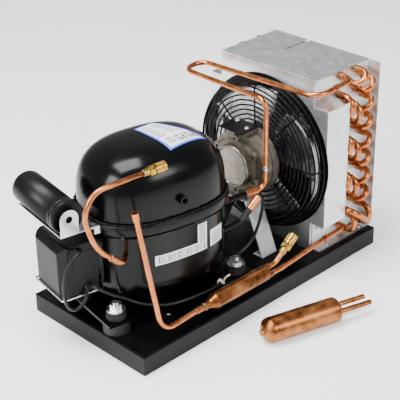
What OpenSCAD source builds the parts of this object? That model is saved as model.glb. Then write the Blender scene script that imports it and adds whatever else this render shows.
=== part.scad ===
// Refrigeration condensing unit: hermetic compressor, fan, finned coil and liquid line on one tray.
// Millimetres, +Z up, X along the tray from compressor to coil, Y across it.
// The origin is on the floor below the middle of the tray.

/* [Tray] */
// Length of the base tray
tray_l = 414; // [404:1:440]
// Width of the base tray
tray_w = 195; // [190:1:210]
// Height of the tray with its folded edges
tray_h = 25; // [20:1:30]
// Thickness of the tray's sheet
tray_t = 1.5; // [1:0.1:2.5]
// Radius of the folds along the tray's top
tray_fold_r = 2.5; // [1:0.5:4]
// Diameter of the drain hole beside the compressor
drain_d = 5; // [3:0.5:8]

/* [Compressor] */
// Distance of the compressor's axis from the middle of the tray
comp_x = -97; // [-100:1:-94]
// Turn of the compressor about its own axis, in degrees
comp_turn = 10; // [8:1:12]
// Half the length of the shell
shell_a = 87.4; // [86:0.2:88]
// Half the width of the shell
shell_b = 66.6; // [65:0.2:68]
// Thickness of the pressed steel shell
shell_t = 3; // [2:0.2:4]
// Height of the seam above the shell's flat bottom
seam_rise = 112; // [108:1:116]
// Height of the dome above the seam
dome_h = 75; // [70:1:80]
// Height of the rounded bottom of the shell
belly_h = 50; // [44:1:56]
// How far the lip of the lower shell stands out
lip_out = 4.1; // [3.5:0.1:5]
// Height of that lip
lip_h = 12; // [10:0.5:16]

/* [Mounting feet] */
// Distance between the grommets along the compressor
feet_l = 170; // [168:1:172]
// Distance between the grommets across the compressor
feet_w = 101.6; // [100:0.2:103]
// Thickness of the foot plates
foot_t = 3; // [2:0.2:4]
// Diameter of the grommet under the foot plate
grommet_d = 32; // [29:0.5:34]
// Height of the grommet under the foot plate
grommet_h = 14; // [12:0.5:18]
// Diameter of the grommet above the foot plate
grommet_top_d = 24; // [22:0.5:27]
// Height of the grommet above the foot plate
grommet_top_h = 10; // [8:0.5:12]
// Thread diameter of the mounting studs
stud_d = 8; // [6:0.5:9]

/* [Relay box] */
// Length of the relay cover out from the shell
relay_l = 48; // [44:1:52]
// Width of the relay cover
relay_w = 64; // [60:1:68]
// Height of the relay cover
relay_h = 67; // [62:1:70]
// Wall of the relay cover
relay_t = 2; // [1.5:0.1:3]

/* [Capacitor] */
// Diameter of the capacitor
cap_d = 40; // [36:0.5:42]
// Length of the capacitor
cap_l = 97; // [90:1:104]
// Width of its bracket
cap_strip_w = 24; // [20:1:28]
// Width of the upturned tab
cap_tab_w = 23; // [20:0.5:24]
// Diameter of the hole in the tab
cap_hole_d = 8.5; // [6:0.5:10]

/* [Coil] */
// Height of the unit over the top plate
unit_h = 257.25; // [255:0.25:262]
// Distance between tubes in one row
tube_pitch = 25.4; // [25:0.1:25.5]
// Distance between rows
row_pitch = 15.5; // [14.5:0.1:16]
// Tubes in one row
row_tubes = 9; // [9:1:9]
// Outer diameter of the coil tubes
coil_tube_d = 7.94; // [7:0.02:9.6]
// Wall of the coil tubes
coil_tube_t = 0.6; // [0.4:0.05:0.9]
// Distance between fins
fin_pitch = 5.08; // [4:0.02:8]
// Thickness of a fin
fin_t = 0.4; // [0.2:0.05:0.6]
// Outside width over the two end plates
coil_w = 155; // [152:0.5:158]

/* [Shroud] */
// Place of the fan panel's front face
panel_x = 100; // [98:0.5:102]
// Depth of the shroud from the fan panel to the coil's rear
shroud_l = 104.9; // [104:0.1:107]
// Thickness of the shroud's sheet
shroud_t = 1; // [0.8:0.1:1.5]
// Width over the side wings
wing_w = 196; // [194:1:198]
// Height of the wings
wing_h = 159.3; // [150:0.5:164]
// How far the wings fold back
wing_l = 41.5; // [38:0.5:42]
// Width of the end plates' turned out rear edges
flange_w = 17.7; // [14:0.1:18]

/* [Fan] */
// Height of the fan's axis above the floor
fan_z = 142; // [140:1:144]
// Radius of the blades' tips
blade_r = 86; // [80:0.5:87]
// Inner radius of the fan ring
ring_r = 90; // [89:0.5:91]
// Outer radius of the fan ring
ring_out_r = 103; // [101:0.5:104]
// Number of blades
blade_count = 4; // [3:1:5]
// Sheet thickness of the blades
blade_t = 1.2; // [0.8:0.1:1.6]
// Angle that one blade covers, in degrees
blade_span = 68; // [50:1:70]
// Depth of a blade along the axis
blade_depth = 16; // [12:1:17]
// Wire diameter of the guard
wire_d = 2.2; // [1.6:0.1:2.4]
// Number of radial guard wires
wire_count = 8; // [6:1:10]
// Distance between guard rings
guard_pitch = 6.2; // [5.5:0.1:7]

/* [Fan motor] */
// Radius of the motor's rear flange
motor_flange_r = 45; // [43:0.5:46]
// Radius of the motor's body
motor_r = 42; // [40:0.5:43]
// Radius of the polished front cap
motor_cap_r = 28; // [26:0.5:29]
// Diameter of the motor's shaft
shaft_d = 8; // [6:0.5:8.5]
// Width of the zinc plated legs
leg_w = 27.4; // [24:0.5:28]
// Thickness of the legs
leg_t = 2; // [1.5:0.1:2.5]

/* [Pipes] */
// Outer diameter of the copper lines
line_d = 6.35; // [6:0.05:6.6]
// Wall of the copper lines
line_t = 0.8; // [0.6:0.05:1]
// Wall of the slip-on couplings
sleeve_t = 0.9; // [0.6:0.05:1]
// Outer diameter of the drier
drier_d = 19.5; // [18:0.5:21]
// Length of the drier's straight shell
drier_l = 84; // [80:1:88]
// Inner diameter of the flared outlet socket
socket_d = 6.6; // [6.65:0.05:7]
// Depth of the flared outlet socket
socket_l = 9; // [6:0.5:12]

/* [Service valves] */
// Diameter of the knurled valve caps
valve_cap_d = 12.6; // [11.6:0.1:14]
// Length of the knurled valve caps
valve_cap_l = 14; // [12:0.5:16]
// Diameter of the valve's threaded neck
neck_d = 8.7; // [8:0.1:9.5]
// Length of the threaded neck
neck_l = 9; // [8:0.5:10]
// Width across flats of the valve body
valve_flats = 11; // [10:0.5:12]

/* [Spare drier] */
// Outer diameter of the loose drier
spare_d = 31; // [28:0.5:34]
// Length of the loose drier's body
spare_l = 104; // [96:1:112]

/* [Hidden] */
$fn = 48;

// Shared clearances
over = 2;
seat_gap = 0.3;
slip = 0.05;
contact = 0.1;

// Shell shape: the power of its plan and of its upright section
plan_power = 2.6;
dome_power = 3.2;
plan_points = 40;
comp_y = 3;
shell_z = tray_h + grommet_h + foot_t;
seam_z = shell_z + seam_rise;
belly_flat_share = 0.62;

// Coil places
row_in = 46.5;
top_tube_drop = 5.75;
row_x = panel_x + row_in;
coil_top_z = unit_h - top_tube_drop;
near_y = -75.45;
far_y = near_y + coil_w;
stub_out = 8;
bell_l = 6;
hairpin_out = 1.5;
fin_edge = 7.8;
fin_rise = 4.5;
fin_low_z = tray_h + fin_rise;
fin_rows = 4;

// Fan and motor places along X
fan_y = 1;
guard_out = 22;
blade_out = 8.6;
motor_out = 52;
guard_x = panel_x - guard_out;
blade_x = panel_x - blade_out;
motor_x = panel_x - motor_out;

// Points of a closed oval with squared shoulders
function oval(a, b) = [for (i = [0 : plan_points - 1]) let (t = 360 * i / plan_points, c = cos(t),
    s = sin(t)) [a * sign(c) * pow(abs(c), 2 / plan_power), b * sign(s) * pow(abs(s), 2 / plan_power)]];
function ring_at(a, b, z) = [for (p = oval(a, b)) [p.x, p.y, z]];

// Closed skin over a stack of rings that all have the same number of points
module skin(rings) {
    k = len(rings[0]);
    m = len(rings);
    points = [for (r = rings) each r];
    sides = [for (j = [0 : m - 2], i = [0 : k - 1]) let (n = (i + 1) % k)
        each [[j * k + i, (j + 1) * k + i, (j + 1) * k + n], [j * k + i, (j + 1) * k + n, j * k + n]]];
    polyhedron(points, concat([[for (i = [0 : k - 1]) i]], sides,
        [[for (i = [0 : k - 1]) (m - 1) * k + k - 1 - i]]), convexity = 6);
}

module at_compressor() translate([comp_x, comp_y, 0]) rotate([0, 0, -comp_turn]) children();

// Place children with their +Z along a direction
module aim(from, dir) translate(from)
    rotate([0, acos(dir.z / norm(dir)), atan2(dir.y, dir.x)]) children();

module around_fan(x) translate([x, fan_y, fan_z]) rotate([0, 90, 0]) children();

function unit(v) = v / norm(v);
function ray_to(angle, r) = [r * cos(angle), r * sin(angle)];

module tube_face(od, id) difference() {
    circle(d = od);
    if (id > 0) circle(d = id);
}

// Bent tube through the corners of a route, with one bend radius.
// The straight runs end just inside the elbows, whose walls are a little thicker.
lap = 0.2;
swell = 0.04;
module elbow_face(od, id) tube_face(od + swell, id > 0 ? id - swell : 0);
module pipe(route, bends, od, id) {
    last = len(route) - 1;
    radii = is_list(bends) ? bends : [for (p = route) bends];
    cuts = [for (i = [0 : last]) i == 0 || i == last ? 0
        : radii[i] * tan(acos(unit(route[i] - route[i - 1]) * unit(route[i + 1] - route[i])) / 2)];
    for (i = [0 : last - 1]) {
        step = route[i + 1] - route[i];
        from = cuts[i] - (i > 0 ? lap : 0);
        to = norm(step) - cuts[i + 1] + (i < last - 1 ? lap : 0);
        aim(route[i] + unit(step) * from, step) linear_extrude(to - from) tube_face(od, id);
    }
    if (last > 1) for (i = [1 : last - 1]) {
        a = unit(route[i] - route[i - 1]);
        b = unit(route[i + 1] - route[i]);
        n = unit(b - a * (a * b));
        w = cross(a, n);
        c = route[i] - a * cuts[i] + n * radii[i];
        multmatrix([[-n.x, a.x, w.x, c.x], [-n.y, a.y, w.y, c.y], [-n.z, a.z, w.z, c.z], [0, 0, 0, 1]])
            rotate_extrude(angle = acos(a * b)) translate([radii[i], 0]) elbow_face(od, id);
    }
}

module hex_bar(flats, h) cylinder(d = flats / cos(30), h = h, $fn = 6);

// Tray
stud_clear = 0.6;
drain_x = -126.9;
drain_y = -52.7;

module tray_block(l, w, h, r) intersection() {
    rotate([90, 0, 90]) translate([0, 0, -l / 2]) linear_extrude(l) fold_face(w, h, r);
    rotate([90, 0, 0]) translate([0, 0, -w / 2]) linear_extrude(w) fold_face(l, h, r);
}

module fold_face(w, h, r) {
    translate([-w / 2, 0]) square([w, h - r]);
    translate([-w / 2 + r, 0]) square([w - 2 * r, h]);
    for (s = [-1, 1]) translate([s * (w / 2 - r), h - r]) circle(r);
}

module at_grommets() at_compressor()
    for (sx = [-1, 1], sy = [-1, 1]) translate([sx * feet_l / 2, sy * feet_w / 2, 0]) children();

module base_tray() color("#1b1b1d") difference() {
    tray_block(tray_l, tray_w, tray_h, tray_fold_r);
    translate([0, 0, -over]) tray_block(tray_l - 2 * tray_t, tray_w - 2 * tray_t,
        tray_h - tray_t + over, tray_fold_r - tray_t / 2);
    at_grommets() cylinder(d = stud_d + stud_clear, h = tray_h + over);
    translate([drain_x, drain_y, 0]) cylinder(d = drain_d, h = tray_h + over);
}

// Compressor shell
belly_angles = [62.3, 52, 42, 32, 22, 12, 0];
dome_angles = [0, 13, 25, 36, 46, 55, 63, 70, 76, 81, 85];
skirt_in = 10;
lip_rim = 0.2;
lip_wall = lip_out - lip_rim;
belly_z = shell_z + belly_h * pow(sin(belly_angles[0]), 2 / dome_power);
function wide(t) = pow(cos(t), 2 / dome_power);
function tall(t) = pow(sin(t), 2 / dome_power);
function belly(cut, lift) = [for (t = belly_angles)
    ring_at((shell_a - cut) * wide(t), (shell_b - cut) * wide(t), belly_z - (belly_h - lift) * tall(t))];

module compressor_lower_shell() color("#161617") at_compressor() difference() {
    skin(concat(
        belly(0, 0),
        [ring_at(shell_a, shell_b, seam_z - lip_h - lip_out),
         ring_at(shell_a + lip_out, shell_b + lip_out, seam_z - lip_h),
         ring_at(shell_a + lip_out, shell_b + lip_out, seam_z),
         ring_at(shell_a + lip_out - lip_wall, shell_b + lip_out - lip_wall, seam_z),
         ring_at(shell_a + lip_out - lip_wall, shell_b + lip_out - lip_wall, seam_z - skirt_in - contact),
         ring_at(shell_a - shell_t, shell_b - shell_t, seam_z - skirt_in - contact)],
        [for (r = [len(belly_angles) - 1 : -1 : 0]) belly(shell_t, shell_t)[r]]));
    stub_holes();
}

module compressor_upper_shell() color("#161617") at_compressor() difference() {
    skin(concat(
        [for (i = [len(dome_angles) - 1 : -1 : 0]) let (t = dome_angles[i])
            ring_at((shell_a - shell_t) * wide(t), (shell_b - shell_t) * wide(t),
                seam_z + (dome_h - shell_t) * tall(t))],
        [ring_at(shell_a - shell_t, shell_b - shell_t, seam_z - skirt_in),
         ring_at(shell_a, shell_b, seam_z - skirt_in)],
        [for (t = dome_angles) ring_at(shell_a * wide(t), shell_b * wide(t), seam_z + dome_h * tall(t))]));
    port_place() cylinder(d = port_d + contact, h = port_l, center = true, $fn = 24);
}

// Stubs through the shell, placed in the tray's frame
stub_d = 8;
stub_t = 1.2;
discharge_from = [-34, -38.4, 128];
discharge_to = [24, -43.8, 126];
riser_share = 0.4;
riser_foot = discharge_to + (discharge_to - discharge_from) * riser_share;
suction_route = [[-40, -50, 97.5], [-4, -53, 100.5], [20, -53, 116.5]];
suction_bend = 22;
port_d = 11;
port_hole_d = 6.5;
port_l = 12;
port_x = -1;
port_rise = 20;
port_z = seam_z + port_rise;

module port_place() translate([port_x, -shell_b, port_z]) rotate([84, 0, 0]) children();

module from_compressor() rotate([0, 0, comp_turn]) translate([-comp_x, -comp_y, 0]) children();

module stub_holes() {
    from_compressor() {
        aim(discharge_from, discharge_to - discharge_from) cylinder(d = stub_d + contact, h = stub_d * 3);
        aim(suction_route[0], suction_route[1] - suction_route[0])
            cylinder(d = stub_d + contact, h = stub_d * 3);
    }
    translate(process_route[0] - unit(process_route[1] - process_route[0]) * over)
        aim([0, 0, 0], process_route[1] - process_route[0]) cylinder(d = line_d + contact, h = stub_d * 2);
}

module shell_stubs() color("#202022") {
    pipe([discharge_from, discharge_to], stub_d, stub_d, stub_d - 2 * stub_t);
    pipe(suction_route, suction_bend, stub_d, stub_d - 2 * stub_t);
    at_compressor() port_place() linear_extrude(port_l, center = true) tube_face(port_d, port_hole_d);
}

// Feet, grommets and studs
foot_in = 38;
foot_end = 18;
foot_side = 15;
foot_ear = 19;
foot_out = feet_l / 2 + foot_end;
foot_half_w = feet_w / 2 + foot_side;
foot_neck_w = 84;
foot_step = feet_l / 2 - foot_ear;
grommet_groove = 2.5;
grommet_step = 1.5;
grommet_step_share = 0.55;
grommet_neck_d = grommet_top_d - 2 * grommet_groove;
sleeve_bore_t = 1;
nut_h = 6.5;
nut_share = 1.625;
nut_flats = stud_d * nut_share;
washer_t = 1.6;
washer_in = 1;
washer_d = grommet_top_d - 2 * washer_in;
stack_h = grommet_h + foot_t + grommet_top_h;
hole_gap = 0.5;

module mounting_feet() color("#19191a") at_compressor() for (side = [0, 1]) mirror([side, 0, 0])
    difference() {
        translate([0, 0, tray_h + grommet_h]) linear_extrude(foot_t) {
            translate([foot_in, -foot_neck_w / 2]) square([foot_out - foot_in, foot_neck_w]);
            translate([foot_step, -foot_half_w]) square([foot_out - foot_step, 2 * foot_half_w]);
        }
        for (s = [-1, 1]) translate([feet_l / 2, s * feet_w / 2, tray_h])
            cylinder(d = grommet_neck_d + hole_gap, h = stack_h);
    }

module rubber_grommets() color("#242425") at_grommets() translate([0, 0, tray_h]) difference() {
    union() {
        cylinder(d = grommet_d, h = grommet_h - contact);
        cylinder(d = grommet_neck_d, h = stack_h);
        translate([0, 0, grommet_h + foot_t + contact]) {
            cylinder(d = grommet_top_d, h = grommet_top_h * grommet_step_share);
            cylinder(d = grommet_top_d - 2 * grommet_step, h = grommet_top_h - contact);
        }
    }
    translate([0, 0, -over]) cylinder(d = stud_d + stud_clear + 2 * sleeve_bore_t + 2 * slip,
        h = stack_h + 2 * over);
}

module grommet_sleeves() color("#a9acae") at_grommets() translate([0, 0, tray_h])
    linear_extrude(stack_h) tube_face(stud_d + stud_clear + 2 * sleeve_bore_t, stud_d + stud_clear);

module mounting_studs() color("#b4b7b8") at_grommets() {
    translate([0, 0, tray_h - tray_t - nut_h]) hex_bar(nut_flats, nut_h);
    translate([0, 0, tray_h - tray_t]) cylinder(d = stud_d, h = tray_t + stack_h + washer_t + nut_h + over);
    translate([0, 0, tray_h + stack_h]) difference() {
        union() {
            cylinder(d = washer_d, h = washer_t);
            translate([0, 0, washer_t]) hex_bar(nut_flats, nut_h);
        }
        translate([0, 0, -over]) cylinder(d = stud_d + 2 * slip, h = washer_t + nut_h + 2 * over);
    }
}

// Relay box on the compressor's end
relay_out = 4.6;
relay_rise = 29;
relay_x = shell_a + relay_out;
relay_low = shell_z + relay_rise;
relay_mid_y = 1;
relay_chamfer = 9;
relay_slope = 10;
fence_in = 3;
fence_t = 1.5;
fence_gap = 2;
fence_l = 9;
pin_d = 2.4;
pin_out = 13;
header_d = 28;
terminal_z = relay_low + relay_h * 0.5;
pin_r = 6;
device_l = 20;
device_w = 34;
device_h = 32;
overload_d = 22;
overload_h = 9;
tab_high = 22;
tab_drop = 9;
root_share = 0.8;

module shell_prism(gap) translate([0, 0, shell_z]) linear_extrude(seam_rise)
    polygon(oval(shell_a + gap, shell_b + gap));

module relay_plan(inset) polygon([
    [-relay_x + (inset > 0 ? over : 0), relay_w / 2 - inset],
    [-relay_x - relay_l + relay_chamfer / 2, relay_w / 2 - inset],
    [-relay_x - relay_l + inset, relay_w / 2 - relay_chamfer / 2 - inset / 2],
    [-relay_x - relay_l + inset, -relay_w / 2 + relay_chamfer],
    [-relay_x - relay_l + relay_chamfer, -relay_w / 2 + inset],
    [-relay_x + (inset > 0 ? over : 0), -relay_w / 2 + inset]]);

module relay_side(inset) polygon([
    [-relay_x + over, inset],
    [-relay_x - relay_l - over, inset],
    [-relay_x - relay_l - over, relay_h - relay_slope - inset],
    [-relay_x - relay_l + relay_slope, relay_h - inset],
    [-relay_x + over, relay_h - inset]]);

module relay_block(inset) translate([0, relay_mid_y, relay_low]) intersection() {
    linear_extrude(relay_h) relay_plan(inset);
    rotate([90, 0, 0]) translate([0, 0, -relay_w]) linear_extrude(2 * relay_w) relay_side(inset);
}

module relay_cover() color("#2a2a2c") difference() {
    at_compressor() relay_block(0);
    at_compressor() relay_block(relay_t);
    at_compressor() lead_hole(lead_a[0], lead_a[1]);
    at_compressor() lead_hole(lead_a[12], lead_a[11]);
    lead_hole(lead_b[0], lead_b[1]);
}

module fence_face(inset) square([relay_h - 2 * relay_t - 2 * fence_gap - inset,
    relay_w - 2 * relay_t - 2 * fence_gap - inset], center = true);

module terminal_fence() color("#1c1c1d") at_compressor() difference() {
    union() {
        translate([-relay_x - fence_l, relay_mid_y, terminal_z]) rotate([0, 90, 0])
            linear_extrude(fence_l + relay_x - shell_a * root_share) difference() {
                fence_face(0);
                fence_face(fence_in);
            }
        translate([-relay_x + contact, relay_mid_y, terminal_z]) rotate([0, 90, 0])
            linear_extrude(fence_t) difference() {
                translate([relay_h / 2 - tab_drop, 0])
                    square([tab_high, relay_w + 2 * clip_out + 2 * clip_d], center = true);
                fence_face(fence_in);
            }
        translate([-relay_x, 0, terminal_z]) rotate([0, 90, 0])
            cylinder(d = header_d, h = shell_a * (1 - root_share));
        for (t = [0 : 120 : 240]) translate([-relay_x - pin_out, pin_r * sin(t), terminal_z + pin_r * cos(t)])
            rotate([0, 90, 0]) cylinder(d = pin_d, h = pin_out + over, $fn = 16);
    }
    shell_prism(contact);
}

module starting_device() color("#3a3634") at_compressor() {
    translate([-relay_x - pin_out - device_l + fence_l, relay_mid_y, 0]) difference() {
        translate([-device_l / 2 + over, -device_w / 2, terminal_z - device_h / 2])
            cube([device_l, device_w, device_h]);
        for (t = [0 : 120 : 240]) translate([0, pin_r * sin(t) - relay_mid_y, terminal_z + pin_r * cos(t)])
            rotate([0, 90, 0]) cylinder(d = pin_d + contact, h = device_l, $fn = 16);
    }
    translate([-relay_x - relay_l / 2, relay_mid_y, relay_low + relay_t + seat_gap])
        cylinder(d = overload_d, h = overload_h);
}

// Wire clip that holds the cover
clip_d = 2;
clip_out = 1.4;
module cover_clip() color("#c9cccd") at_compressor() let (
    x0 = -relay_x - clip_d / 2 - contact, x1 = -relay_x - relay_l - clip_out,
    y1 = relay_w / 2 + clip_out, z = relay_low + clip_d)
    translate([0, relay_mid_y, 0])
        pipe([[x0, y1, z], [x1, y1, z], [x1, -y1, z], [x0, -y1, z]], clip_d * 1.5, clip_d, 0, $fn = 16);

// Capacitor and its bracket
can_stand = 33;
can_x = -relay_x - can_stand;
can_y = -27;
strip_t = 1.6;
strip_drop = 2.6;
strip_lead = 3;
strip_tail = 1;
hook_drop = 8;
strip_z = seam_z - strip_drop;
can_z = strip_z + strip_t + seat_gap / 2 + cap_d / 2;
cap_lid_l = 7;
cap_round = 5;
can_wall = 1;
tab_h = 32;

module can_profile(r, l, c) {
    square([r, l - c]);
    square([r - c, l]);
    translate([r - c, l - c]) circle(c);
}

module capacitor_can() color("#1a1a1b") at_compressor() translate([can_x, can_y + cap_lid_l, can_z])
    rotate([-90, 0, 0]) rotate_extrude() difference() {
        can_profile(cap_d / 2 - can_wall / 2, cap_l - cap_lid_l, cap_round);
        translate([0, over]) can_profile(cap_d / 2 - 3 * can_wall / 2, cap_l - cap_lid_l - over - can_wall,
            cap_round - can_wall);
    }

module capacitor_cap() color("#202021") at_compressor() translate([can_x, can_y, can_z])
    rotate([-90, 0, 0]) rotate_extrude() difference() {
        union() {
            square([cap_d / 2 - can_wall, cap_lid_l]);
            translate([0, can_wall]) square([cap_d / 2, cap_lid_l + over * 2]);
        }
        translate([0, cap_lid_l - contact]) square([cap_d / 2 - can_wall / 2 + slip, cap_l]);
        translate([0, 2 * can_wall]) square([cap_d / 2 - 3 * can_wall, cap_l]);
        square([cap_d / 2 - 4 * can_wall, can_wall]);
    }

module capacitor_bracket() color("#cfd3d4") at_compressor() {
    strip_l = cap_l + strip_lead + strip_tail;
    start = can_y - strip_lead;
    eye_z = strip_z + tab_h - cap_tab_w / 2;
    difference() {
        union() {
            translate([can_x - cap_strip_w / 2, start, strip_z]) cube([cap_strip_w, strip_l, strip_t]);
            translate([can_x - cap_tab_w / 2, start, strip_z]) cube([cap_tab_w, strip_t, eye_z - strip_z]);
            translate([can_x, start + strip_t, eye_z]) rotate([90, 0, 0])
                cylinder(d = cap_tab_w, h = strip_t);
            translate([can_x, start, strip_z]) cube([-can_x - shell_a * root_share, cap_strip_w, strip_t]);
            translate([-shell_a - lip_out - 2 * strip_t, start, strip_z - hook_drop])
                cube([shell_a * (1 - root_share), cap_strip_w, hook_drop + strip_t]);
        }
        translate([can_x, can_y, eye_z]) rotate([90, 0, 0]) cylinder(d = cap_hole_d, h = cap_tab_w);
        translate([0, 0, strip_z - lip_h]) linear_extrude(2 * lip_h)
            polygon(oval(shell_a + lip_out + contact, shell_b + lip_out + contact));
    }
}

// Process tube in the compressor's frame, ending in a service valve
process_route = [[-64, -42, 112], [-80, -66, 117], [-114, -66, 147], [-127, -66, 192],
    [-112, -66, 217], [-44, -66, 221]];
process_bend = 9;
process_dir = process_route[5] - process_route[4];

module process_tube() color("#c4703f") at_compressor()
    pipe(process_route, process_bend, line_d, line_d - 2 * line_t);

// Service valve along +Z: socket, hex, neck, sprung pin, seal and cap
valve_socket_l = 7;
valve_hex_l = 6;
valve_bore = 3.4;
valve_pin_d = 1.6;
valve_pin_head_d = 3.2;
valve_pin_l = 10;
seal_t = 1.5;
cap_gap = 0.1;
cap_edge = 0.8;
knurl_count = 24;
cap_rise = 1;
socket_wall = 1.2;
valve_base = valve_socket_l + valve_hex_l;

module valve_body() difference() {
    union() {
        cylinder(d = line_d + 2 * socket_wall, h = valve_socket_l + contact);
        translate([0, 0, valve_socket_l]) hex_bar(valve_flats, valve_hex_l);
        translate([0, 0, valve_base - contact]) cylinder(d = neck_d, h = neck_l + contact);
    }
    translate([0, 0, -over]) cylinder(d = line_d + 2 * slip, h = valve_socket_l + over - line_t);
    cylinder(d = valve_bore, h = valve_base + neck_l + over);
}

module valve_pin() translate([0, 0, valve_base + neck_l - valve_pin_l - seat_gap]) {
    cylinder(d = valve_pin_d, h = valve_pin_l, $fn = 24);
    cylinder(d = valve_pin_head_d, h = over, $fn = 24);
}

module valve_seal() translate([0, 0, valve_base + neck_l + contact]) cylinder(d = neck_d, h = seal_t);

module valve_cap() translate([0, 0, valve_base + cap_rise]) difference() {
    rotate_extrude() can_profile(valve_cap_d / 2, valve_cap_l, cap_edge);
    translate([0, 0, -over])
        cylinder(d = neck_d + 2 * cap_gap, h = neck_l - cap_rise + seal_t + 2 * contact + over);
    for (k = [1 : knurl_count]) rotate([0, 0, 360 * k / knurl_count]) translate([valve_cap_d / 2 + cap_gap, 0, over])
        cylinder(d = cap_edge, h = valve_cap_l - over * 2, $fn = 4);
}

module at_process_valve() at_compressor()
    aim(process_route[5] - unit(process_dir) * (valve_socket_l - line_t - contact), process_dir) children();
module at_access_valve()
    aim(access_route[2] - unit(access_dir) * (valve_socket_l - line_t - contact), access_dir) children();

module valve_bodies() color("#c9a544") {
    at_process_valve() valve_body();
    at_access_valve() valve_body();
}
module process_valve_pin() color("#b9bcbd") at_process_valve() valve_pin();
module process_cap() color("#c9a544") at_process_valve() valve_cap();
module process_cap_seal() color("#2b2b2b") at_process_valve() valve_seal();
module access_valve_pin() color("#b9bcbd") at_access_valve() valve_pin();
module access_cap() color("#c9a544") at_access_valve() valve_cap();
module access_cap_seal() color("#2b2b2b") at_access_valve() valve_seal();

// Copper lines, in the tray's frame
coupling_l = 18;
line_y = -95;
discharge_bends = [0, 10, 19, 14, 14, 14, 12, 0];
discharge_route = [[row_x, near_y - stub_out, coil_top_z], [row_x, line_y - 1, coil_top_z], [82, line_y, 247.5],
    [82, 98, 242.5], [52, 98, 240], [riser_foot.x, riser_foot.y, 240.5], riser_foot,
    discharge_to + unit(riser_foot - discharge_to) * seat_gap];

module discharge_line() color("#c4703f") pipe(discharge_route, discharge_bends, line_d, line_d - 2 * line_t);

drier_x = -4;
drier_y = -90.5;
drier_z = 41.8;
drier_t = 0.9;
drier_lap = 4;
drier_cone_l = 10;
drier_neck_l = 2 * drier_lap;
port_side = [2.5, 3.7];
liquid_bend = 11;
liquid_z = coil_top_z - (row_tubes - 1) * tube_pitch;
drier_right = drier_x + drier_cone_l / 2;
drier_port_l = 8;
drier_round = 2;
drier_end_t = 2;
drier_end_in = 0.6;
beads_from_share = 0.18;
beads_share = 0.72;
liquid_end = [drier_right + 6, drier_y - port_side.x, drier_z - port_side.y];
access_start = [drier_right + 6, drier_y + port_side.x, drier_z + port_side.y];
liquid_route = [[row_x, near_y - stub_out, liquid_z], [row_x, line_y, liquid_z], [98, line_y, liquid_z - 1.6],
    [26, liquid_end.y, liquid_end.z], liquid_end];
access_route = [access_start, [20, access_start.y, access_start.z], [37, access_start.y, 58]];
access_dir = access_route[2] - access_route[1];
access_bend = 14;
outlet_x = drier_x - drier_l - drier_cone_l - drier_lap;
outlet_route = [[outlet_x, drier_y, drier_z], [outlet_x - 1.1 * coupling_l, drier_y, drier_z],
    [-172, drier_y, 39], [-190, -76, 182]];
outlet_end = outlet_route[3];
outlet_dir = outlet_end - outlet_route[2];
outlet_bend = 20;

module liquid_line() color("#c06a44") pipe(liquid_route, liquid_bend, line_d, line_d - 2 * line_t);
module access_tube() color("#c06a44") pipe(access_route, access_bend, line_d, line_d - 2 * line_t);

module outlet_tube() color("#c06a44") {
    pipe(outlet_route, outlet_bend, line_d, line_d - 2 * line_t);
    aim(outlet_end, outlet_dir) rotate_extrude() polygon([
        [line_d / 2 - line_t - swell, -lap], [line_d / 2 + swell, -lap], [socket_d / 2 + line_t, line_t * 3],
        [socket_d / 2 + line_t, line_t * 3 + socket_l], [socket_d / 2, line_t * 3 + socket_l],
        [socket_d / 2, line_t * 3], [line_d / 2 - line_t, line_t * 2]]);
}

// Slip-on couplings: each from a point, along a direction, with its length and the tube inside
module coupling(from, dir, l, d) aim(from, dir) linear_extrude(l) tube_face(d + 2 * slip + 2 * sleeve_t, d + 2 * slip);

module ring_coupling(corner, dir, along) coupling(corner + unit(dir) * along, dir, line_d, line_d);
module tube_couplings() color("#c87a4c") {
    discharge_dir = discharge_to - discharge_from;
    suction_dir = suction_route[2] - suction_route[1];
    coupling(discharge_to - unit(discharge_dir) * coupling_l / 2, discharge_dir, coupling_l / 2, stub_d);
    aim(discharge_to, discharge_dir) linear_extrude(coupling_l / 2)
        tube_face(stub_d + 2 * slip + 2 * sleeve_t, line_d + 2 * slip);
    coupling(suction_route[2] - unit(suction_dir) * coupling_l * 0.6, suction_dir, coupling_l, stub_d);
    aim(suction_route[2] + unit(suction_dir) * coupling_l * 0.4, suction_dir)
        cylinder(d = stub_d + 2 * slip + 2 * sleeve_t, h = line_t);
    coupling(outlet_route[0] - [drier_lap + contact, 0, 0], [-1, 0, 0], 0.7 * coupling_l, line_d);
    ring_coupling(discharge_route[2], discharge_route[1] - discharge_route[2], 5 * line_d);
    ring_coupling(liquid_route[2], liquid_route[1] - liquid_route[2], line_d);
    at_compressor() coupling(process_route[1] + unit(process_route[2] - process_route[1]) * process_bend,
        process_route[2] - process_route[1], coupling_l * 0.7, line_d);
}

// Drier, its axis along -X from the two-tube end
module drier_shell() color("#b8693a") translate([drier_right, drier_y, drier_z]) rotate([0, -90, 0]) difference() {
    union() {
        rotate_extrude() difference() {
            drier_outline(drier_d / 2);
            drier_outline_inside();
        }
        for (s = [-1, 1]) translate([s * port_side.y, s * port_side.x, -drier_port_l])
            cylinder(d = line_d + 2 * slip + 2 * sleeve_t, h = drier_port_l + drier_t);
    }
    for (s = [-1, 1]) translate([s * port_side.y, s * port_side.x, -drier_port_l - over])
        cylinder(d = line_d + 2 * slip, h = drier_port_l + over + 4 * drier_t);
}

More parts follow.
